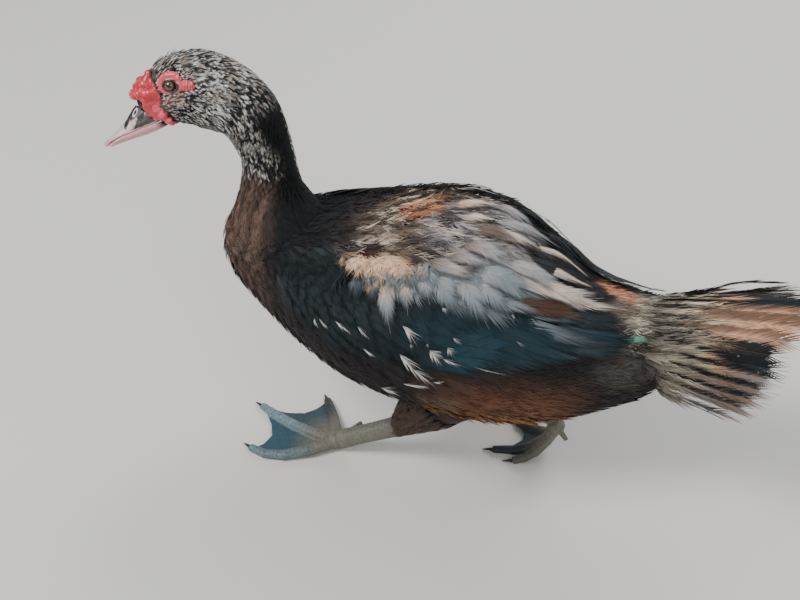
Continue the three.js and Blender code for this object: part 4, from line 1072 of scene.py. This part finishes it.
# Quills of the tail from its right edge over the top to its left edge: angle, reach, width, lift at the tip,
# and colours at the root, the middle and the tip
RECTRICES = []
for angle in range(-130, -20, 13):
    RECTRICES.append((angle, 0.97, 22, 0.0, (TAIL_DARK, BROWN_BLACK, RECTRIX_PINK)))
RECTRICES += [
    (-26, 1.0, 20, 1.0, (TAIL_DARK, TEAL_BLACK, INK)),
    (-30, 0.76, 5, 16.0, (TAIL_DARK, INK, INK)),
    (-18, 1.0, 18, 2.0, (TEAL_BLACK, TEAL, INK)),
    (-9, 0.98, 18, 4.0, (COVERT_OLIVE, RECTRIX_TAN, ORANGE_TAN)),
    (0, 1.0, 18, 4.5, (COVERT_OLIVE, RECTRIX_TAN, ORANGE_TAN)),
    (10, 0.99, 20, 4.5, (COVERT_OLIVE, RECTRIX_TAN, RECTRIX_TAN)),
    (20, 0.97, 20, 4.0, (COVERT_OLIVE, RECTRIX_TAN, RECTRIX_PINK)),
    # This quill is painted dark through its middle and tip, as painted shade of a gap between the pale ones
    (32, 0.88, 20, 0.5, (RECTRIX_TAN, BROWN_BLACK, TAIL_DARK)),
    (43, 0.93, 18, 0.0, (RECTRIX_PINK, TAIL_DARK, SLATE)),
    (54, 0.95, 16, 2.0, (RECTRIX_PINK, RECTRIX_PINK, RECTRIX_GREY)),
    (66, 0.96, 16, 1.5, (RECTRIX_GREY, RECTRIX_PINK, RECTRIX_GREY)),
    (78, 0.96, 16, 1.5, (RECTRIX_GREY, RECTRIX_PINK, RECTRIX_PINK)),
    (91, 0.97, 18, 1.0, (RECTRIX_GREY, RECTRIX_GREY, RECTRIX_PINK)),
    (106, 0.95, 18, 0.5, (RECTRIX_GREY, RECTRIX_GREY, RECTRIX_GREY)),
    (120, 0.9, 18, 0.0, (RECTRIX_GREY, SILVER, RECTRIX_GREY)),
]
rng = np.random.default_rng(31)
# Stiff vanes like the wing's, dulled by wear
tail_material = feather_material("tail_feather_keratin", roughness=0.6, sheen=0.02, gloss=0.2)
parts = []
share = np.linspace(0, 1, 18)
for angle, reach, width, lift, colours in RECTRICES:
    t = -0.05 + (reach + 0.05) * share
    wander = 1.5 * np.sin(np.pi * share) * rng.normal() + 1.0 * rng.normal()
    height = lift * smooth(0, 0.7, share) + 0.6 * rng.random()
    sunk = 12 * smooth(55, 80, abs(angle)) * smooth(0.2, 0, share)
    centre, out = on_vault(angle + wander, t, height - sunk)
    # Painted shade on the vane that the next quill covers, and a painted highlight along the other vane's
    # edge
    shaded = TAIL_DARK if angle > 25 else 0.25 * colours[1]
    paint = own_paint((0.2, 0.6, 0.95), colours, under=shaded, rim=colours[1] * 1.25)
    parts += feather(
        centre, out, width / 2, paint, tail_root(angle, 0.1), rng, locks=38, steps=4, sweep=0.16,
        shape=TAIL_SHAPE, cup=40, tilt=-0.35, shaft=0.7, shaft_tone=1.6 if colours[1].mean() > 0.12 else 0.7,
        ragged=0.1, lost=0.04, curl=0.6, dim=0.15, overlap=0.45,
    )

# Coverts of the tail: count, angle from and to, start, reach, width and colours
TAIL_COVERTS = [
    (22, -125, 40, -0.05, 0.42, 13, (TAIL_DARK, BROWN_BLACK, RECTRIX_PINK)),
    (18, 30, 125, -0.05, 0.46, 12, (RUMP_GREY, RUMP_OLIVE, RECTRIX_GREY)),
    (18, -30, 60, -0.05, 0.58, 10, (RUMP_GREY, COVERT_OLIVE, RECTRIX_TAN)),
    (16, -25, 60, -0.12, 0.36, 10, (RUMP_GREY, COVERT_OLIVE, CREAM)),
]
COVERT_TONES = (0.35, 0.85, 1.1, 1.3)
share = share[::2]
for count, first, last, start, reach, width, colours in TAIL_COVERTS:
    for angle in np.linspace(first, last, count) + 2 * rng.normal(size=count):
        t = start + (reach * (1 + 0.12 * rng.normal()) - start) * share
        height = 1.5 + 2.0 * share + rng.random()
        sunk = 14 * smooth(55, 80, abs(angle)) * smooth(0.4, 0, share)
        centre, out = on_vault(angle + 0 * t, t, height - sunk)
        tone = rng.choice(COVERT_TONES)
        paint = own_paint((0.2, 0.6, 0.95), [colour * tone for colour in colours])
        parts += feather(
            centre, out, width / 2, paint, tail_root(angle, 0.1 + 0.5 * reach), rng, locks=18, steps=3,
            sweep=0.3, shape=QUILL_SHAPE, cup=40, shaft=0.4, ragged=0.25, lost=0.15, curl=1.2,
        )
coat_piece("tail_feathers", parts, tail_material, ("tail",))

# Bill: horn over bone, an upper and a lower half that close along the mouth line, with a nail at the tip.
# The horn grows from the face and wears at its edges. It is pinkish grey with a black saddle at its root.
BILL_PINK = linear("#c3abae")
BILL_PALE = linear("#d8c9c6")
BILL_OLIVE = linear("#37352e")
BILL_BLACK = linear("#0d0c0c")
TOMIUM_PINK = linear("#cf8f95")
NOSTRIL = (38.0, -10.5)  # forward and up in the head's own frame
NOSTRIL_SLOPE = -0.7  # fall of the bill's back for each millimetre forward
# Spots on the bill's sides in the order they are laid on: colour, middle forward and up, half length and
# half height, slope, whether the edge is ragged, and strength. The last two are the nostril's ring and its
# hole, painted black as the shade inside it.
SPOTS = [
    (BILL_BLACK, (36.5, -6.5), (9.5, 7.0), NOSTRIL_SLOPE, True, 1.0),
    (BILL_BLACK, (33.5, -12), (4.5, 7.0), NOSTRIL_SLOPE, True, 1.0),
    (BILL_BLACK, (46, -13.5), (4.8, 2.6), -1.4, False, 1.0),
    (BILL_BLACK, (50, -17.5), (2.2, 3.2), -1.2, False, 1.0),
    (BILL_BLACK, (42, -22.5), (4.5, 1.2), -1.1, False, 0.8),
    (BILL_PALE, NOSTRIL, (3.6, 2.3), NOSTRIL_SLOPE, False, 1.0),
    (BILL_BLACK, NOSTRIL, (2.2, 1.2), NOSTRIL_SLOPE, False, 1.0),
]


def noise_at(points, per_mm):
    """Smooth noise from -1 to 1 at each point."""
    return np.array([noise.noise(Vector(p) * per_mm) for p in points])


def bill_colour(points):
    """The horn's colour, pale at the tip and olive below the saddle, with its spots and its pink edge."""
    forward, _, up = head_place(points).T
    wobble = noise_at(points, 0.35)
    colour = mix(BILL_PINK, BILL_PALE, smooth(62, 72, forward + 2 * wobble)[:, None])
    olive = smooth(44, 39, forward + 0.9 * (up + 20) + 3 * wobble) * smooth(-13, -17, up + 2 * wobble)
    colour = mix(colour, BILL_OLIVE, olive[:, None])
    for paint, (ahead, height), (length, depth), slope, is_ragged, strength in SPOTS:
        across = up + is_ragged * wobble - height - slope * (forward - ahead)
        spot = smooth(1.15, 0.8, np.hypot((forward - ahead) / length, across / depth))
        colour = mix(colour, paint, strength * spot[:, None])
    edge = smooth(-23.4, -24.8, up + 0.6 * wobble) * smooth(18, 26, forward)
    return mix(colour, TOMIUM_PINK, edge[:, None]) * (1 + 0.12 * wobble[:, None])


# Horn is glossy where it is worn smooth and has fine growth lines that run across the bill
GROWTH_LINE_MM = 0.9
STAIN_MM = 4
bill_material, tree, on_surface = new_material("bill_horn")
lines = add(
    tree, "ShaderNodeTexWave", on_surface,
    Scale=1 / (GROWTH_LINE_MM * MM * 2 * math.pi), Distortion=6.0, Detail=3.0, Detail_Scale=2.0,
).outputs["Fac"]
stain = add(tree, "ShaderNodeTexNoise", on_surface, Scale=1 / (STAIN_MM * MM), Detail=5.0).outputs["Fac"]
finish(tree, shades=[(stain, 0.75, 1.25)], rough=(stain, 0.28, 0.5), relief=(lines, 0.15, 0.15), IOR=1.54)
for node in ("bill_upper", "bill_lower"):
    points, faces, _ = fused(cad_form(node), voxel=0.4, rounds=8)
    build(node + "_horn", points, faces, bill_colour(points), bill_material, (node,))

# Caruncle: bare skin between eyes and bill, swollen by blood into lobes and beaded with warts. It grows on
# the skull in one piece, thick over the bill's root and thin down to the corner of the mouth.
CARUNCLE_RED = linear("#c42a35")
CARUNCLE_PINK = linear("#d04a55")
CREASE_SHADE_RED = linear("#7e1520")
BEAD_HIGHLIGHT_PALE = linear("#f0c4c2")
# Lobes: forward, up, rise over the skull, half length, half height and half depth
LOBES = [
    (21, 7, 0.0, 8.0, 7.0, 5.0), (16, 12, 0.0, 5.5, 5.0, 4.0), (14, 16.5, 0.5, 3.2, 3.4, 3.0),
    (25, 2, 0.0, 6.5, 6.5, 4.5), (19, -2, 0.3, 8.5, 7.0, 4.4), (20, -10, 0.0, 8.5, 7.0, 3.8),
    (18.5, -16, 0.0, 7.0, 5.6, 3.4), (15, -21.5, 0.0, 5.0, 4.4, 3.0), (12.2, -27, 0.2, 3.8, 3.4, 2.8),
    (10.6, -30.6, 0.6, 3.2, 2.2, 2.4), (24, -15.0, 0.0, 4.8, 4.6, 3.0), (20, -20, 0.0, 4.6, 4.2, 3.0),
    (12.4, 5, -0.6, 3.4, 7.5, 2.5), (11.8, -4, -0.6, 3.2, 6.5, 2.4),
]
# Knobs over the bill's root: forward, left, up and radius
KNOBS = [(33.5, 0, 4.0, 5.2), (31.5, 4.5, 3.0, 4.6), (27, 6.5, 8.5, 4.6), (24, 0, 12.0, 5.4)]
head_points = head_place(head_neck.points.reshape(-1, 3))


def skull_left(forward, up):
    """How far out the skull's left side is at a place of its profile."""
    left = head_points[head_points[:, 1] > 0]
    near = np.hypot(left[:, 0] - forward, left[:, 2] - up)
    return left[near.argmin(), 1]


def ellipsoid(centre, radii, sides=24):
    """A closed ellipsoid in the head's own frame, as points of the bird and faces."""
    lie = np.pi * np.arange(1, sides // 2) / (sides // 2)
    lie, ring = np.meshgrid(lie, 2 * np.pi * np.arange(sides) / sides, indexing="ij")
    own = np.stack([np.sin(lie) * np.cos(ring), np.sin(lie) * np.sin(ring), np.cos(lie)], -1).reshape(-1, 3)
    own = np.concatenate([own, [[0, 0, 1], [0, 0, -1]]]) * radii + centre
    return in_head(*own.T), capped(sides // 2 - 1, sides)[:, ::-1]


def warted(points, out, rng, number, height, radius, chosen=None):
    """Points raised into round warts, and how high each stands as a share of the highest."""
    roots = points[rng.choice(len(points), number, replace=False)]
    if chosen is not None:
        roots = roots[chosen(head_place(roots))]
    rise = np.zeros(len(points))
    for root in roots:
        size = radius * rng.uniform(0.6, 1.4)
        near = np.linalg.norm(points - root, axis=1) / size
        rise = np.maximum(rise, np.sqrt(np.clip(1 - near ** 2, 0, 1)) * size / (1.4 * radius))
    return points + out * (height * rise)[:, None], rise


forms = []
for side in (1, -1):
    for forward, up, rise, length, height, depth in LOBES:
        left = skull_left(forward, up) + rise
        forms.append(ellipsoid((forward, side * (left - 0.3 * depth), up), (length, depth, height)))
for forward, left, up, radius in KNOBS:
    for side in (1, -1) if left else (1,):
        forms.append(ellipsoid((forward, side * left, up), (radius, radius, radius)))
rng = np.random.default_rng(41)
points, faces, out = fused(forms, voxel=0.45, rounds=4)


def beaded(own):
    """Where the warts stand closest: over the forehead, down to below the nostril."""
    return own[:, 2] > -6 + 5 * rng.random(len(own))


points, beads = warted(points, out, rng, number=190, height=0.9, radius=2.5, chosen=beaded)
points, folds = warted(points, out, rng, number=90, height=0.5, radius=2.6)
forward, _, up = (head_place(points)[:, k:k + 1] for k in range(3))
deep = noise_at(points, 0.22)[:, None]
raised = np.maximum(beads, folds)[:, None]
colour = mix(CARUNCLE_RED, CARUNCLE_PINK, smooth(-6, -16, up + 3 * deep))
# Painted shade in the low skin between the warts and in the crease at the rear edge by the lids, and painted
# highlights on the tops of the upper beads
colour = mix(colour, CREASE_SHADE_RED, 0.55 * smooth(0.35, 0.05, raised + 0.2 * deep))
colour = mix(colour, BEAD_HIGHLIGHT_PALE, 0.35 * smooth(0.75, 1.0, beads[:, None]) * smooth(-4, 8, up))
colour = mix(colour, CREASE_SHADE_RED * 0.5, smooth(12.5, 9.5, forward - 0.1 * up) * smooth(-6, 4, up))

# Moist living skin: glossy highlights on every bead over a soft, slightly see-through red
CARUNCLE_GRAIN_MM = 0.7
BLOOD_MM = 3
red_material, tree, on_surface = new_material("bare_red_skin")
grain = add(tree, "ShaderNodeTexVoronoi", on_surface, Scale=1 / (CARUNCLE_GRAIN_MM * MM)).outputs["Distance"]
blood = add(tree, "ShaderNodeTexNoise", on_surface, Scale=1 / (BLOOD_MM * MM), Detail=4.0).outputs["Fac"]
finish(
    tree, shades=[(blood, 0.75, 1.25)], rough=(blood, 0.3, 0.5), relief=(grain, 0.3, 0.2),
    Coat_Weight=0.35, Coat_Roughness=0.2, Subsurface_Weight=0.15, Subsurface_Scale=0.002,
)
build("caruncle_skin", points, faces, colour, red_material, ("caruncle",))

# Lids: a swollen ring of the same red skin round each eye, drawn out behind it into a lobe with upright
# folds. Its thin inner margin is dark and follows the eyeball.
LID_OUT = 3.4  # from an eye's centre out to the plane of its lids
LID_TURN = 14  # degrees that this plane is turned to the front
EYE_BACK = 2.4  # how far behind the ring's middle the eye looks out
# The ring of the lids: angle, distance from its centre and half thickness
RING = [
    (-75, 6.8, 0.9), (-40, 8.0, 1.4), (0, 9.2, 2.3), (60, 8.9, 3.0), (100, 8.6, 3.3), (150, 9, 2.8),
    (190, 9.3, 2.4), (230, 8, 1.5), (285, 6.8, 0.9),
]
MARGIN_RADIUS = (6.7, 5.0)  # half length and half height of the eye's opening
MARGIN_THICK = 1.05
MARGIN_TILT = -24  # degrees that the opening falls to the rear
MARGIN_CENTRE = (-3.4, -0.6)
LID_BROWN = linear("#2c1410")
# The lobe behind the eye: forward, up, half length, half height and half depth
REAR_LOBE = [(-12, -3.0, 4.5, 5.4, 2.3), (-16.4, -5.0, 4.2, 5.0, 2.1), (-20.5, -6.6, 3.2, 4.5, 1.8)]
FOLD_WIDTH = 2.7
MARGIN_COS = math.cos(math.radians(MARGIN_TILT))
MARGIN_SIN = math.sin(math.radians(MARGIN_TILT))


def margin_place(angle, scale=1.0):
    """A place on the edge of the eye's opening, forward and up, from its angle in radians."""
    a = scale * MARGIN_RADIUS[0] * math.cos(angle)
    b = scale * MARGIN_RADIUS[1] * math.sin(angle)
    forward = MARGIN_CENTRE[0] + a * MARGIN_COS + b * MARGIN_SIN
    return forward, MARGIN_CENTRE[1] - a * MARGIN_SIN + b * MARGIN_COS


turn = math.tan(math.radians(LID_TURN))
for side, name in ((1, "left"), (-1, "right")):
    forms = []
    # The swollen ring
    for angle in range(-75, 286, 6):
        a = math.radians(angle)
        radius, thick = (np.interp(angle, *np.array(RING).T[[0, k]]) for k in (1, 2))
        forward, up = RING_CENTRE[0] + radius * math.cos(a), RING_CENTRE[1] + radius * math.sin(a)
        left = EYE_OFFSET + LID_OUT - 0.6 - turn * forward
        forms.append(ellipsoid((forward, side * left, up), (thick, 2.2, thick), 12))
    # The thin margin of the opening, and the skin between it and the ring
    for angle in range(0, 360, 8):
        forward, up = margin_place(math.radians(angle))
        left = EYE_OFFSET + LID_OUT + 0.6 - 0.8 * turn * (forward + EYE_BACK)
        forms.append(ellipsoid((forward, side * left, up), (MARGIN_THICK, 1.7, MARGIN_THICK), 10))
    for angle in range(-60, 241, 8):
        forward, up = margin_place(math.radians(angle), 1.22)
        left = EYE_OFFSET + LID_OUT - 0.3 - turn * (forward + EYE_BACK)
        forms.append(ellipsoid((forward, side * left, up), (1.9, 1.9, 1.9), 12))
    for forward, up, length, height, depth in REAR_LOBE:
        left = skull_left(forward, up) + 0.3
        forms.append(ellipsoid((forward, side * left, up), (length, depth, height), 16))
    points, faces, out = fused(forms, voxel=0.4, rounds=3)
    forward, _, up = head_place(points).T
    wave = noise_at(points, 0.3)
    crease = np.cos(2 * np.pi * (forward + 0.4 * up + 1.5 * wave) / FOLD_WIDTH) * smooth(-11, -14, forward)
    points = points + out * (0.28 * crease + 0.7 * wave)[:, None]
    points, _ = warted(points, out, rng, number=110, height=0.3, radius=1.4)
    ahead, over = forward - MARGIN_CENTRE[0], up - MARGIN_CENTRE[1]
    tilted = (ahead * MARGIN_COS - over * MARGIN_SIN) / MARGIN_RADIUS[0]
    upright = (ahead * MARGIN_SIN + over * MARGIN_COS) / MARGIN_RADIUS[1]
    below = smooth(-4, -7, up) * smooth(-12, -9, forward)
    # The folds behind the eye are redder and darker in their troughs, a painted shade in the creases
    colour = mix(CARUNCLE_PINK, CARUNCLE_RED, smooth(0.2, -0.8, crease)[:, None])
    colour = mix(colour, CREASE_SHADE_RED, 0.4 * smooth(-0.3, -0.9, crease)[:, None])
    colour = mix(colour, HEAD_GREY, 0.75 * below[:, None])
    colour = mix(colour, LID_BROWN, smooth(1.3, 1.12, np.hypot(tilted, upright))[:, None])
    build(f"eyelid_{name}_skin", points, faces, colour, red_material, (f"eyelid_{name}",))

# Eyes: wet balls with a clear front, a brown iris that darkens to its rim, and a round black pupil.
# They sit in the skull up to the lids.
EYE_RADIUS = 6.4
PUPIL = 2.3  # radius
IRIS = 4.6  # radius
EYE_RINGS, EYE_SIDES = 60, 72
FIBRE_MM = 0.5
IRIS_BROWN = linear("#4a2c1b")
IRIS_AMBER = linear("#7d5233")
PUPIL_BLACK = linear("#060505")
# A tear film over the clear cornea gives a sharp highlight on the dark ball
eye_material, tree, on_surface = new_material("wet_eyeball")
fibres = add(tree, "ShaderNodeTexNoise", on_surface, Scale=1 / (FIBRE_MM * MM), Detail=3.0).outputs["Fac"]
finish(tree, shades=[(fibres, 0.6, 1.4)], Roughness=0.25, Coat_Weight=1.0, Coat_Roughness=0.03, IOR=1.38)
lie = np.linspace(0.02, np.pi - 0.02, EYE_RINGS)
lie, ring = np.meshgrid(lie, 2 * np.pi * np.arange(EYE_SIDES) / EYE_SIDES, indexing="ij")
from_axis = EYE_RADIUS * np.sin(lie)
bulge = 0.5 * smooth(IRIS + 0.8, 0, from_axis) * (lie < np.pi / 2)
reach = np.append(from_axis, [0, 0])[:, None]
spoke = np.append(0.5 + 0.5 * np.sin(23 * ring + 3 * np.sin(7 * ring)), [0, 0])[:, None]
colour = mix(IRIS_BROWN, IRIS_AMBER, spoke * smooth(IRIS, PUPIL, reach))
colour = mix(colour, LID_BROWN * 0.5, smooth(IRIS - 0.7, IRIS + 0.2, reach))
colour = mix(colour, PUPIL_BLACK, smooth(PUPIL + 0.25, PUPIL - 0.1, reach))
for side, name in ((1, "left"), (-1, "right")):
    left = side * (EYE_OFFSET + EYE_RADIUS * np.cos(lie) + bulge)
    points = in_head(from_axis * np.cos(ring) - EYE_BACK, left, from_axis * np.sin(ring)).reshape(-1, 3)
    points = np.concatenate([points, [points[:EYE_SIDES].mean(0), points[-EYE_SIDES:].mean(0)]])
    faces = capped(EYE_RINGS, EYE_SIDES)[:, ::-side]
    build(f"eye_{name}_ball", points, faces, colour, eye_material, (f"eye_{name}",))

# Feet and shanks: scaly leather over bone, three toes joined by webs and a small hind toe. Rows of scutes run
# down the toes and the front of the shank, and small round scales cover the rest.
# Each toe's bend and tip, from the inner to the outer one, and the hind toe's tip
TOES = {
    "left": (
        [(-112, -18, 1), (-140, -50, 1), (-142, -102, 1)],
        [(-130, 4, 0), (-189, -27, 0), (-176, -85, 0)],
        (-83, -20, 7),
    ),
    "right": (
        [(96, -8, 4), (96, 2, 0), (104, 24, 4)],
        [(73, -14, 0), (50, -6, 0), (62, 38, 0)],
        (121, 2, 32),
    ),
}
TOE_HEIGHT = 2.6  # of a toe's middle line over the ground
SCUTE_MM = 2.6  # from one scute to the next
SCALE_MM = 1.7  # width of a round scale
FOOT_DUST_MM = 6
WEB_TEAL = linear("#243a40")
WEB_BLUE = linear("#22434f")
TOE_PALE = linear("#6f868a")
TOE_OUTER = linear("#63767a")
TOE_DARK = linear("#2e3433")
SHANK_TAN = linear("#6d695b")
# The right foot stands under the belly and is painted darker than the left one, as painted shade
SHADED_RIGHT_WEB = linear("#141e25")
SHADED_RIGHT_TOE = linear("#55534c")
# Webs at their inner and outer side, and the toes from the inner to the outer one and the hind toe
FOOT_COLOURS = {
    "left": (WEB_TEAL, WEB_BLUE, (TOE_DARK, TOE_PALE, TOE_OUTER, TOE_DARK)),
    "right": (SHADED_RIGHT_WEB, mix(SHADED_RIGHT_WEB, WEB_TEAL, 0.2), (SHADED_RIGHT_TOE, SHADED_RIGHT_WEB * 1.3, TOE_DARK, TOE_DARK)),
}
# Dry leathery skin: dull and dusty in patches, darker in the grooves between the scales
foot_material, tree, on_surface = new_material("scaly_foot_leather")
scales = add(tree, "ShaderNodeTexVoronoi", on_surface, Scale=1 / (SCALE_MM * MM)).outputs["Distance"]
dust = add(tree, "ShaderNodeTexNoise", on_surface, Scale=1 / (FOOT_DUST_MM * MM), Detail=5.0).outputs["Fac"]
finish(
    tree, shades=[(scales, 1.15, 0.75), (dust, 0.7, 1.3)],
    rough=(dust, 0.45, 0.7), relief=(scales, 0.4, -0.3),
)


def nearest(points, path):
    """The distance of each point to a path, and how far along the path it lies, in mm."""
    runs = np.concatenate([[0], np.cumsum(np.linalg.norm(np.diff(path, axis=0), axis=1))])
    best, where = np.full(len(points), 1e9), np.zeros(len(points))
    for k in range(len(path) - 1):
        a, b = path[k], path[k + 1]
        t = np.clip(((points - a) @ (b - a)) / ((b - a) @ (b - a)), 0, 1)
        far = np.linalg.norm(points - a - t[:, None] * (b - a), axis=1)
        closer = far < best
        best[closer] = far[closer]
        where[closer] = (runs[k] + t * (runs[k + 1] - runs[k]))[closer]
    return best, where


HIND_TOE, SHANK = 3, 4  # places in the list of a foot's lines
t = np.linspace(0, 1, 14)[:, None]
for name, leg in LEGS.items():
    heel, hock = (np.array(leg[joint], float) for joint in ("heel", "hock"))
    points, faces, out = fused(cad_form(f"foot_{name}", f"shank_{name}"), voxel=0.8, rounds=5)
    bends, tips, hind_tip = TOES[name]
    up = np.array([0, 0, TOE_HEIGHT])
    paths = []
    for bend, tip in zip(bends, tips):
        paths.append(heel * (1 - t) ** 2 + (bend + up) * 2 * t * (1 - t) + (tip + up) * t ** 2)
    paths += [mix(heel, np.array(hind_tip), t), mix(hock, heel, t)]
    far, along = (np.stack(found) for found in zip(*[nearest(points, path) for path in paths]))
    shank_far = far[SHANK].copy()
    far[SHANK] -= 3
    closest = far.argmin(0)
    along = np.choose(closest, along)
    top = np.clip(out[:, 2], 0, 1)
    front = np.clip(out @ unit(np.cross(hock - heel, RIGHT)), 0, 1)
    on_toe = (closest <= HIND_TOE) * smooth(8.0, 5.5, far.min(0))
    shank = closest == SHANK
    ridge = np.abs(np.sin(np.pi * (along + 0.5 * np.sin(along)) / SCUTE_MM)) ** 0.6
    cells = np.array([noise.cell(Vector(p) / SCALE_MM) for p in points])
    raised = 0.45 * ridge * on_toe * top + 0.5 * ridge * shank * front + 0.12 * cells * (1 - top * on_toe)
    points = points + out * raised[:, None]
    points[:, 2] = np.maximum(points[:, 2], 0.02)
    speck = noise_at(points, 0.6)[:, None]
    inner_web, outer_web, toe_colours = FOOT_COLOURS[name]
    colour = mix(inner_web, outer_web, smooth(-4, 4, far[0] - far[2])[:, None])
    for toe_far, paint in zip(far, toe_colours):
        colour = mix(colour, paint * (0.85 + 0.5 * speck), smooth(7.5, 4.5, toe_far[:, None] + 2.0 * speck))
    grooves = ((1 - ridge) * np.maximum(on_toe * top, shank * front))[:, None]
    to_shank = smooth(52, 14, np.linalg.norm(points - heel, axis=1)[:, None] + 8 * speck)
    to_shank = np.maximum(to_shank, smooth(6, 0, shank_far - 8)[:, None] * (points[:, 2:3] > 14))
    colour = mix(colour, SHANK_TAN * (0.9 + 0.3 * speck), to_shank)
    # Darker in the grooves of the scutes, and a painted shadow in the lowest 3 mm, where the foot meets the
    # ground
    colour = colour * (1 - 0.35 * grooves) * (1 - 0.45 * smooth(3.0, 0.5, points[:, 2:3]))
    build(
        f"foot_skin_{name}", points, faces, np.clip(colour, 0, 1), foot_material,
        (f"foot_{name}", f"shank_{name}"),
    )

# Claws: solid dark horn, sharp and bent down, grown from the end bone of each toe. They take the bill's horn,
# darkened by their own colour.
CLAW_DARK = linear("#1b1a19")
for name in LEGS:
    for toe in (2, 3, 4):
        points, faces, _ = fused(cad_form(f"claw_{name}_{toe}"), voxel=0.4, rounds=3)
        tint = CLAW_DARK * (0.8 + 0.5 * noise_at(points, 0.8)[:, None])
        build(
            f"claw_horn_{name}_{toe}", points, faces, tint, bill_material, (f"claw_{name}_{toe}",),
        )

# Studio: a plain pale floor, a pale world and three soft lights. The camera looks down on the bird from its
# left, a little towards the tail, as the photo does.
PHOTO = (800, 600)
CAMERA_TURN = 20  # degrees round the bird from its left side towards its tail
CAMERA_RISE = 39.5  # degrees above the horizon
FOCAL_PX = 1444  # the lens in pixels of the frame
AIM = np.array([0.0, 0.0, 170.0])  # the point of the bird that the frame is set by
AIM_DISTANCE = 1337
AIM_PX = (450, 304)
SENSOR = 36  # mm
a, e = math.radians(CAMERA_TURN), math.radians(CAMERA_RISE)
back = np.array([math.sin(a) * math.cos(e), -math.cos(a) * math.cos(e), math.sin(e)])
to_right = np.array([math.cos(a), math.sin(a), 0])
to_up = np.cross(back, to_right)
across = (AIM_PX[0] - PHOTO[0] / 2) / FOCAL_PX * AIM_DISTANCE
above = (PHOTO[1] / 2 - AIM_PX[1]) / FOCAL_PX * AIM_DISTANCE
eye_point = AIM - across * to_right - above * to_up + AIM_DISTANCE * back
camera = bpy.data.objects.new("camera", bpy.data.cameras.new("camera"))
bpy.context.scene.collection.objects.link(camera)
camera.data.sensor_width = SENSOR
camera.data.lens = FOCAL_PX * SENSOR / PHOTO[0]
camera.rotation_mode = "QUATERNION"
camera.rotation_quaternion = Matrix([to_right, to_up, back]).transposed().to_quaternion()
camera.location = eye_point * MM + ORIGIN
bpy.context.scene.camera = camera

FLOOR = 6.0  # half its side, in m
floor_mesh = bpy.data.meshes.new("floor")
corners = [(-FLOOR, -FLOOR, 0), (FLOOR, -FLOOR, 0), (FLOOR, FLOOR, 0), (-FLOOR, FLOOR, 0)]
floor_mesh.from_pydata(corners, [], [(0, 1, 2, 3)])
floor = bpy.data.objects.new("floor", floor_mesh)
bpy.context.scene.collection.objects.link(floor)
# Matt grey paint, which shows the shadows and no shine
floor_material = bpy.data.materials.new("pale_floor")
floor_material.use_nodes = True
paint = floor_material.node_tree.nodes["Principled BSDF"].inputs
paint["Base Color"].default_value = (*linear("#cfccc6"), 1)
paint["Roughness"].default_value = 0.9
floor_mesh.materials.append(floor_material)

world = bpy.data.worlds.new("studio")
bpy.context.scene.world = world
world.use_nodes = True
world.node_tree.nodes["Background"].inputs["Color"].default_value = (0.9, 0.95, 1, 1)
world.node_tree.nodes["Background"].inputs["Strength"].default_value = 0.6
LIGHTS = [
    # name, place in m, power in W, size in m
    ("key", (-1.2, -1.2, 2.2), 60, 0.9),
    ("fill", (1.6, -1.5, 1.6), 20, 1.5),
    ("rim", (0.5, 1.8, 1.6), 30, 1.2),
]
for name, place, watts, size in LIGHTS:
    light = bpy.data.objects.new(name, bpy.data.lights.new(name, "AREA"))
    light.data.energy = watts
    light.data.size = size
    light.location = place
    light.rotation_mode = "QUATERNION"
    light.rotation_quaternion = (Vector(place) - Vector((0, 0, 0.2))).to_track_quat("Z", "Y")
    bpy.context.scene.collection.objects.link(light)
